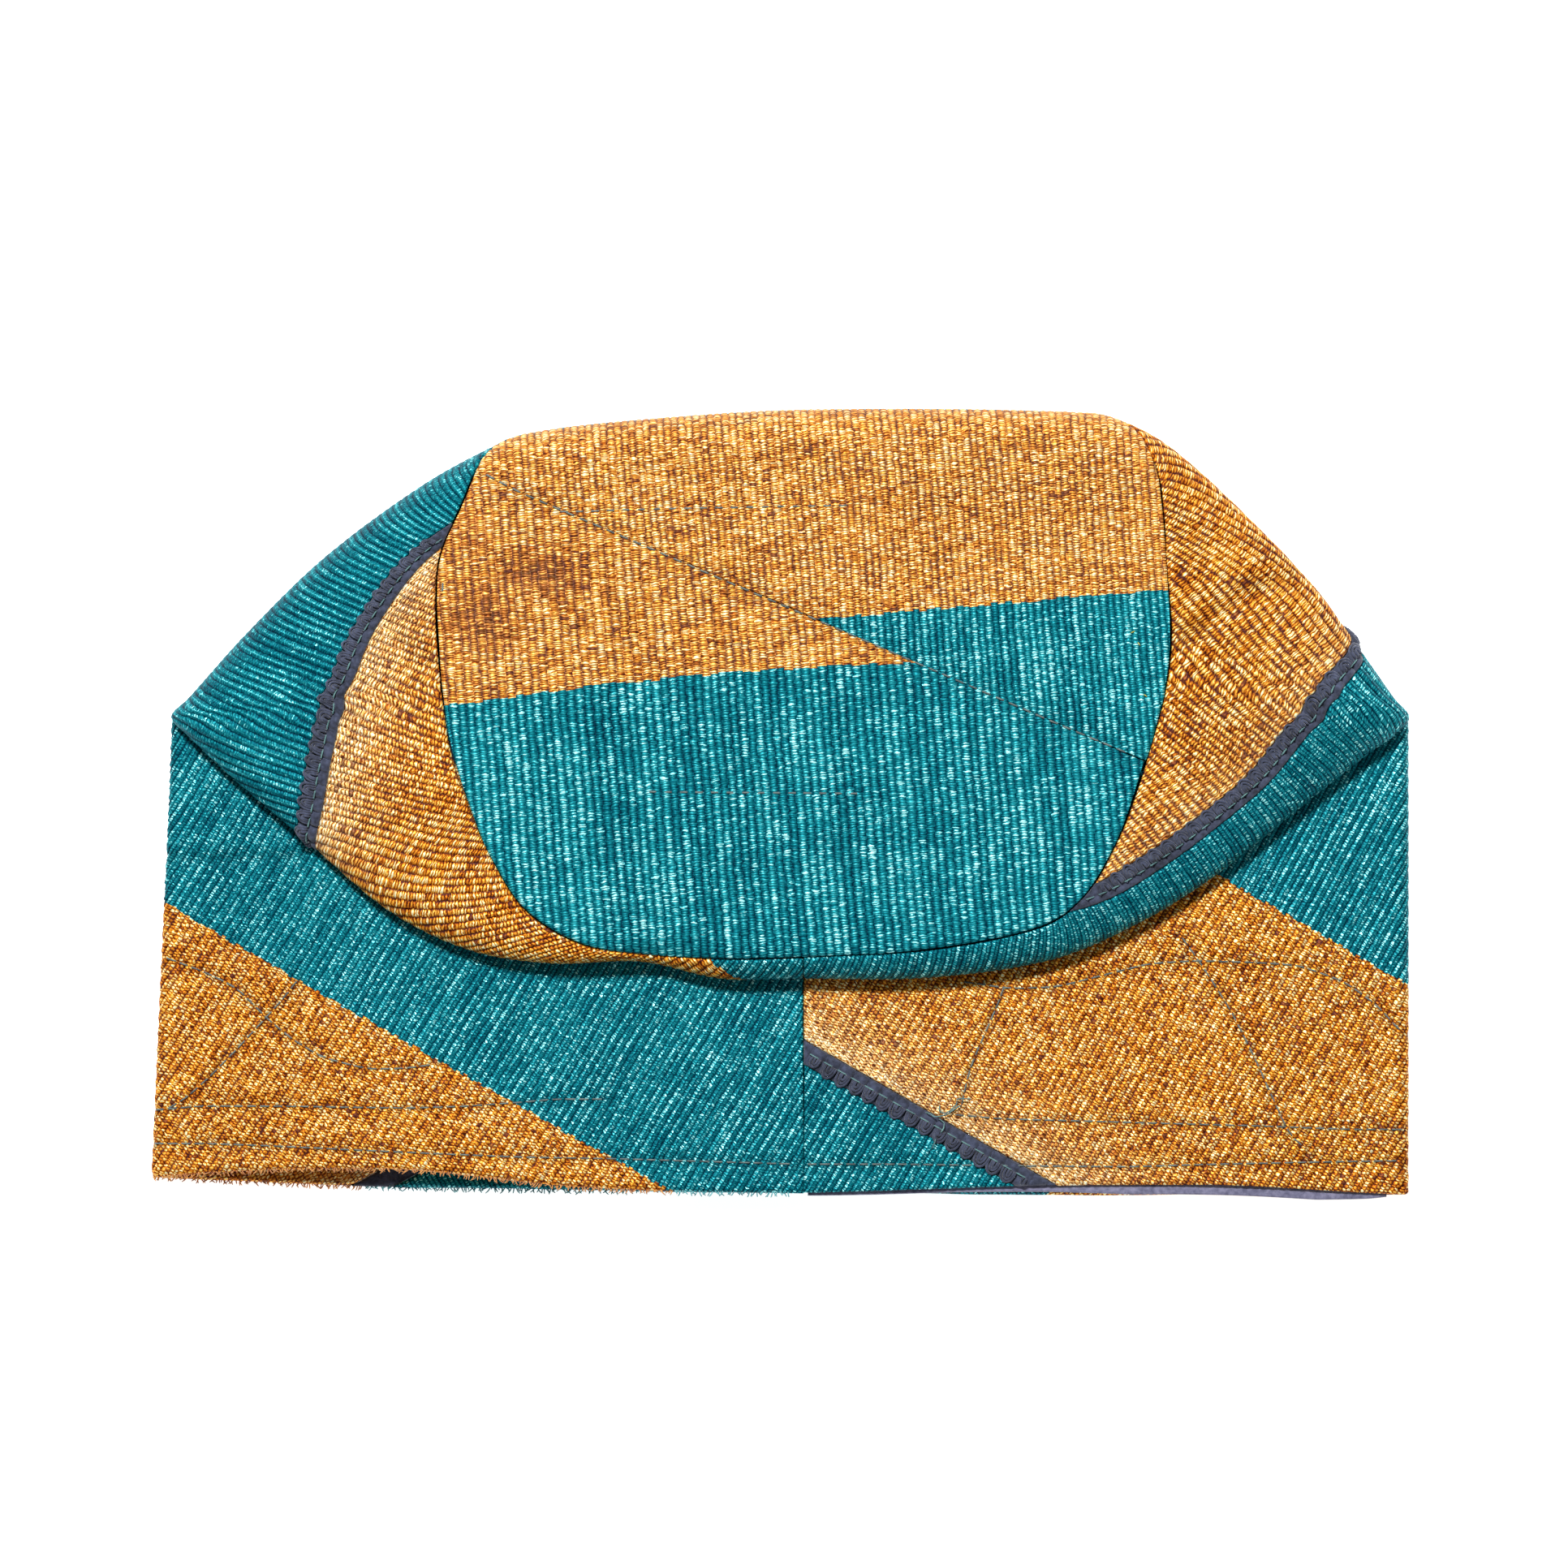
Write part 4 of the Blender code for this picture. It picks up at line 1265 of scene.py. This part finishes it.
selvedge = {
    "endReach": 1.0,
    "sideReach": 0.8,
    "groove": (0.4, 0.45),
    "under": 0.9,
    "flatRise": 1.05,
    "loopRise": 1.15,
    "stitchPlace": -0.35,
    "loopStart": 0.45,
    "strands": ((0.4, 1.3, 1.75), (0.95, 2.1, 1.6), (1.5, 2.8, 1.35)),
    "strandSpread": (0.12, 0.1, 0.16, 0.06),
    "strandThread": 0.3,
    "loopDip": 0.3,
    "legDips": (2.0, 0.4),
    "loopRoom": (1.0, 0.3, 0.6),      # to the front seam, the hem and the crown seam
    "stitchLength": 2.5,
    "stitchGap": 1.2,
    "stitchLift": 1.25,
    "stitchThread": 0.17,
    "stitchRoom": (0.6, 0.5),
}
lump = {"pitch": 3.72, "height": 1.1, "rowStep": 0.6, "columns": 1, "span": (-27, 138),
        "shape": ((0.0, 0.0), (0.07, 0.55), (0.2, 0.88), (0.4, 1.0), (0.6, 1.0), (0.8, 0.88),
                  (0.93, 0.55))}


def selvedgeLifts(start, end, loopSide):
    def lifts(u, v, a, c):
        side = (rounding(np.minimum(*wallEdges(u, v)), selvedge["endReach"])
                * rounding(np.minimum(c - start, end - c), selvedge["sideReach"]))
        past = (c - (start + end) / 2) * loopSide - selvedge["stitchPlace"]
        rise = mix(selvedge["flatRise"], selvedge["loopRise"], smoothStep(past))
        deep, wide = selvedge["groove"]
        groove = deep * np.exp(-(past / wide) ** 2)
        return (rise - groove) * side, -selvedge["under"] * side, side
    return lifts


def plainMarks(u, v, a, c, points):
    return 0 * u, np.zeros((len(u), 3)), np.zeros((len(u), 3))


def loopPaths(join, loopSide, rng):
    # loops of a few strands at each lump, wherever there is room for them
    turn = np.radians(np.linspace(-90, 90, 9))
    legs = np.array((selvedge["stitchPlace"], 0.0))
    legDips, start = selvedge["legDips"], selvedge["loopStart"]
    fromFront, fromHem, fromCrown = selvedge["loopRoom"]
    loops = []
    for a in (np.arange(*lump["span"]) + 0.5) * lump["pitch"]:
        for strand in selvedge["strands"]:
            a, wide, far, lift = (np.array((a, *strand))
                                  + rng.uniform(-1, 1, 4) * selvedge["strandSpread"])
            alongs = np.concatenate((legs, start + (far - start) * np.cos(turn), legs[::-1]))
            sides = np.concatenate((np.full(2, -wide), wide * np.sin(turn), np.full(2, wide)))
            lifts = lift - selvedge["loopDip"] * np.concatenate(
                (legDips, np.cos(turn) ** 2, legDips[::-1]))
            u, v = ribToFlat(a + sides, join + loopSide * alongs)
            if (u.min() > fromFront and u.max() < wholeRound - fromFront
                    and (v - hemAt(u)).min() > fromHem and (topAt(u) - v).min() > fromCrown):
                loops.append(rows(u, v, lifts))
    return loops


def selvedgePiece(k, join, loopSide):
    name, seed = "selvedge_yarn_%d" % k, weave["seed"] + int(join)
    start, end = join - edge, join + edge
    band = ribbedCloth(name, onWall, ribToFlat, wallLimits(start, end),
                       selvedgeLifts(start, end, loopSide), plainMarks, lump, seed)
    settle(band, ["selvedge_%d" % k], slateYarn)
    loops = threads(name + "_loops", onWall, loopPaths(join, loopSide, np.random.default_rng(seed)),
                    selvedge["strandThread"], slateYarn)
    u, v = ribToFlat(np.arange(-95, 505, 1.0), join + loopSide * selvedge["stitchPlace"])
    sides, ends = selvedge["stitchRoom"]
    inside = ((u > sides) & (u < wholeRound - sides)
              & (v > hemAt(u) + ends) & (v < topAt(u) - ends))
    line = stitchPaths(rows(u, v)[inside], selvedge["stitchLength"], selvedge["stitchGap"],
                       selvedge["stitchLift"])
    sewing = threads(name + "_stitches", onWall, line, selvedge["stitchThread"],
                     paleThread)
    return band, loops, sewing


selvedges = [selvedgePiece(k + 1, stripes["joins"][k], side) for k, side in enumerate((-1, 1, -1))]


# The facing inside the front hem, and the stitches along the crown's join

facing = {"from": 1.0, "to": 136.0, "depth": 12.0, "middle": -1.35, "thick": 0.42,
          "shows": ((1, 0.3), (35, 0.5), (60, 1.2), (75, 1.9), (120, 1.9), (132, 1.0), (136, 0.4))}


def hemFacing():
    arounds = np.arange(facing["from"], facing["to"] + 0.1, 1.5)
    shows = np.interp(arounds, *np.array(facing["shows"]).T)
    turn = np.radians(np.linspace(90, 270, 7))
    offsets = np.concatenate((facing["thick"] * np.cos(turn), (facing["depth"],) * 2))
    lifts = facing["middle"] + facing["thick"] * np.concatenate((np.sin(turn), (-1, 1)))
    u = np.repeat(arounds[:, None], len(offsets), axis=1)
    v = hemAt(arounds)[:, None] + offsets - np.where(offsets < 5, 1, 0) * shows[:, None]
    points = onWall(u.ravel(), v.ravel(), np.broadcast_to(lifts, u.shape).ravel())
    number = np.arange(u.size).reshape(1, *u.shape)
    return makeObject("hem_facing_cloth", points, tubeFaces(number[..., ::-1]))


facingPiece = settle(hemFacing(), ["hem_facing"], facingCloth)

# each line of stitches on the crown: its length, gap and lift, then its places (x, y)
crownSewing = (
    (2.2, 1.2, 1.05, (-68.0, 76.0), (-60.1, 72.0), (-39.9, 63.3), (-25.7, 57.2), (-11.4, 51.0),
     (0.6, 45.9), (14.8, 39.8), (26.6, 34.7), (46.8, 26.0), (64.7, 18.2), (82.0, 11.0)),
    (2.0, 1.6, 0.8, (-51.0, 67.6), (-20.0, 68.4), (18.4, 69.1)),
    (2.0, 1.6, 0.8, (-30.4, 2.4), (19.0, 2.0)),
    (2.2, 0.8, 1.0, (-78.2, 51.1), (-78.4, 46.3)),
)
crownStitches = []
for length, gap, lift, *line in crownSewing:
    crownStitches += stitchPaths(crownFlat(*smoothLine(line).T), length, gap, lift)
joinSewing = threads("crown_join_stitches", onCrown, crownStitches, stitch["crownThread"],
                     greyThread)


# A tangle of thread by the lower selvedge, and lint on the crown: (x, y) seen from above

tangle = (
    ((34.2, -72.4), (35.6, -72.8), (36.0, -73.4), (38.0, -73.2), (39.4, -72.7), (41.1, -71.5),
     (42.6, -70.6)),
    ((37.5, -70.6), (37.3, -72.0), (38.5, -72.7), (39.9, -72.0), (41.4, -70.5), (41.5, -69.6)),
    ((37.3, -73.8), (38.6, -74.9), (38.4, -76.1), (37.6, -77.3)),
    ((41.4, -69.3), (43.0, -69.1), (44.9, -69.3)),
    ((36.5, -78.5), (36.3, -79.6), (35.6, -80.9)),
)
lint = ((82.3, 39.6, 0.5, 0.2), (83.7, 36.8, -0.3, 0.4), (85.2, 24.8, 0.4, -0.3))
loose = {"points": 16, "lift": 1.9, "wave": 0.35, "endLift": 0.7, "thread": 0.15,
         "lintLift": (0.8, 1.15, 0.8), "lintThread": 0.16}

tanglePaths = []
for k, line in enumerate(tangle):
    line = smoothLine(line, 0.1)
    spots = line[np.linspace(0, len(line) - 1, loose["points"]).astype(int)]
    lift = loose["lift"] + loose["wave"] * np.sin(np.linspace(0, 5, len(spots)) + 1.7 * k)
    lift[[0, -1]] = loose["endLift"]
    tanglePaths.append(np.column_stack((frontSpot(*spots.T), lift)))
tanglePiece = threads("thread_tangle", onWall, tanglePaths, loose["thread"],
                      paleThread)

lintPaths = []
for x, y, dx, dy in lint:
    spots = crownFlat(np.array((x - dx, x, x + dx)), np.array((y - dy, y, y + dy)))
    lintPaths.append(np.column_stack((spots, loose["lintLift"])))
lintPiece = threads("crown_lint", onCrown, lintPaths, loose["lintThread"],
                    yellowThread)


# Frayed ends along the hem's left half, front and back, in the stripes' colours

fray = {
    "from": 320.0,
    "to": 577.0,
    "step": 0.5,
    "inside": 0.5,
    "thread": 0.14,
    # each fibre's chances
    "stray": (-0.2, 0.2),
    "reach": (0.2, 1.1),
    "sway": (-1.2, 1.2),
    "low": (-0.5, 0.4),
    "bend": (-0.3, 0.4),
    "golden": (383.0, 551.0),
}


def frayPaths(golden):
    rng = np.random.default_rng(weave["seed"] + 90)
    first, last = fray["golden"]
    found = []
    for place in np.arange(fray["from"], fray["to"], fray["step"]):
        stray, reach, sway, low, bend = (
            rng.uniform(*fray[chances]) for chances in ("stray", "reach", "sway", "low", "bend"))
        u = place + stray
        if (first < u < last) != golden:
            continue
        t = np.linspace(0, 1, 5)
        v = hemAt(u) + fray["inside"] - (fray["inside"] + reach) * t
        found.append(rows(u + sway * t ** 2, v, low + bend * t))
    return found


goldFray, tealFray = (
    threads("hem_fray_" + name, onWall, frayPaths(golden), fray["thread"], fibre,
            sides=4)
    for name, golden, fibre in (("gold", True, goldFibre), ("teal", False, tealFibre)))


# The selvedges' pieces, each put together with the tangle, the quilting or the fray; the groups are
# not used

selvedges[0] + (tanglePiece,)
selvedges[1] + (quilt,)
selvedges[2] + (goldFray, tealFray)


# The table, the light and the camera

room = {
    "floorSize": 3.0,
    "floorGlow": 0.85,
    "world": 0.13,
    "keyPower": 41.0,
    "keySize": 0.25,
    "keyPlace": (-0.25, 0.8, 1.6),
    "fillPower": 2.0,
    "fillPlace": (0.9, -0.4, 1.4),
    "cameraHeight": 3.0,
    "viewWidth": 0.36739,
    "viewCentre": (0.00114, 0.00428),
}

bpy.ops.mesh.primitive_plane_add(size=room["floorSize"])
floor = bpy.context.active_object
floor.name = "table_top"
floorMaterial, _, floorShader = startMaterial("pale_table", 0.9, 0.0)
floorShader.inputs["Base Color"].default_value = (0.95, 0.95, 0.95, 1)
floorShader.inputs["Emission Color"].default_value = (1, 1, 1, 1)
floorShader.inputs["Emission Strength"].default_value = room["floorGlow"]
floor.data.materials.append(floorMaterial)

world = bpy.data.worlds.new("soft_studio")
world.use_nodes = True
world.node_tree.nodes["Background"].inputs["Color"].default_value = (1, 1, 1, 1)
world.node_tree.nodes["Background"].inputs["Strength"].default_value = room["world"]
bpy.context.scene.world = world


def softLight(name, place, power, size):
    light = bpy.data.lights.new(name, "AREA")
    light.energy = power
    light.size = size
    lamp = bpy.data.objects.new(name, light)
    bpy.context.scene.collection.objects.link(lamp)
    lamp.location = place
    lamp.rotation_euler = lamp.location.to_track_quat("Z", "Y").to_euler()
    return lamp


softLight("window_light", room["keyPlace"], room["keyPower"], room["keySize"])
softLight("fill_light", room["fillPlace"], room["fillPower"], room["keySize"])

camera = bpy.data.cameras.new("overhead")
camera.sensor_width = 36.0
camera.lens = 36.0 * room["cameraHeight"] / room["viewWidth"]
overhead = bpy.data.objects.new("overhead", camera)
bpy.context.scene.collection.objects.link(overhead)
overhead.location = (*room["viewCentre"], room["cameraHeight"])
bpy.context.scene.camera = overhead
bpy.context.scene.view_settings.view_transform = "Standard"
print("table, light and camera set")
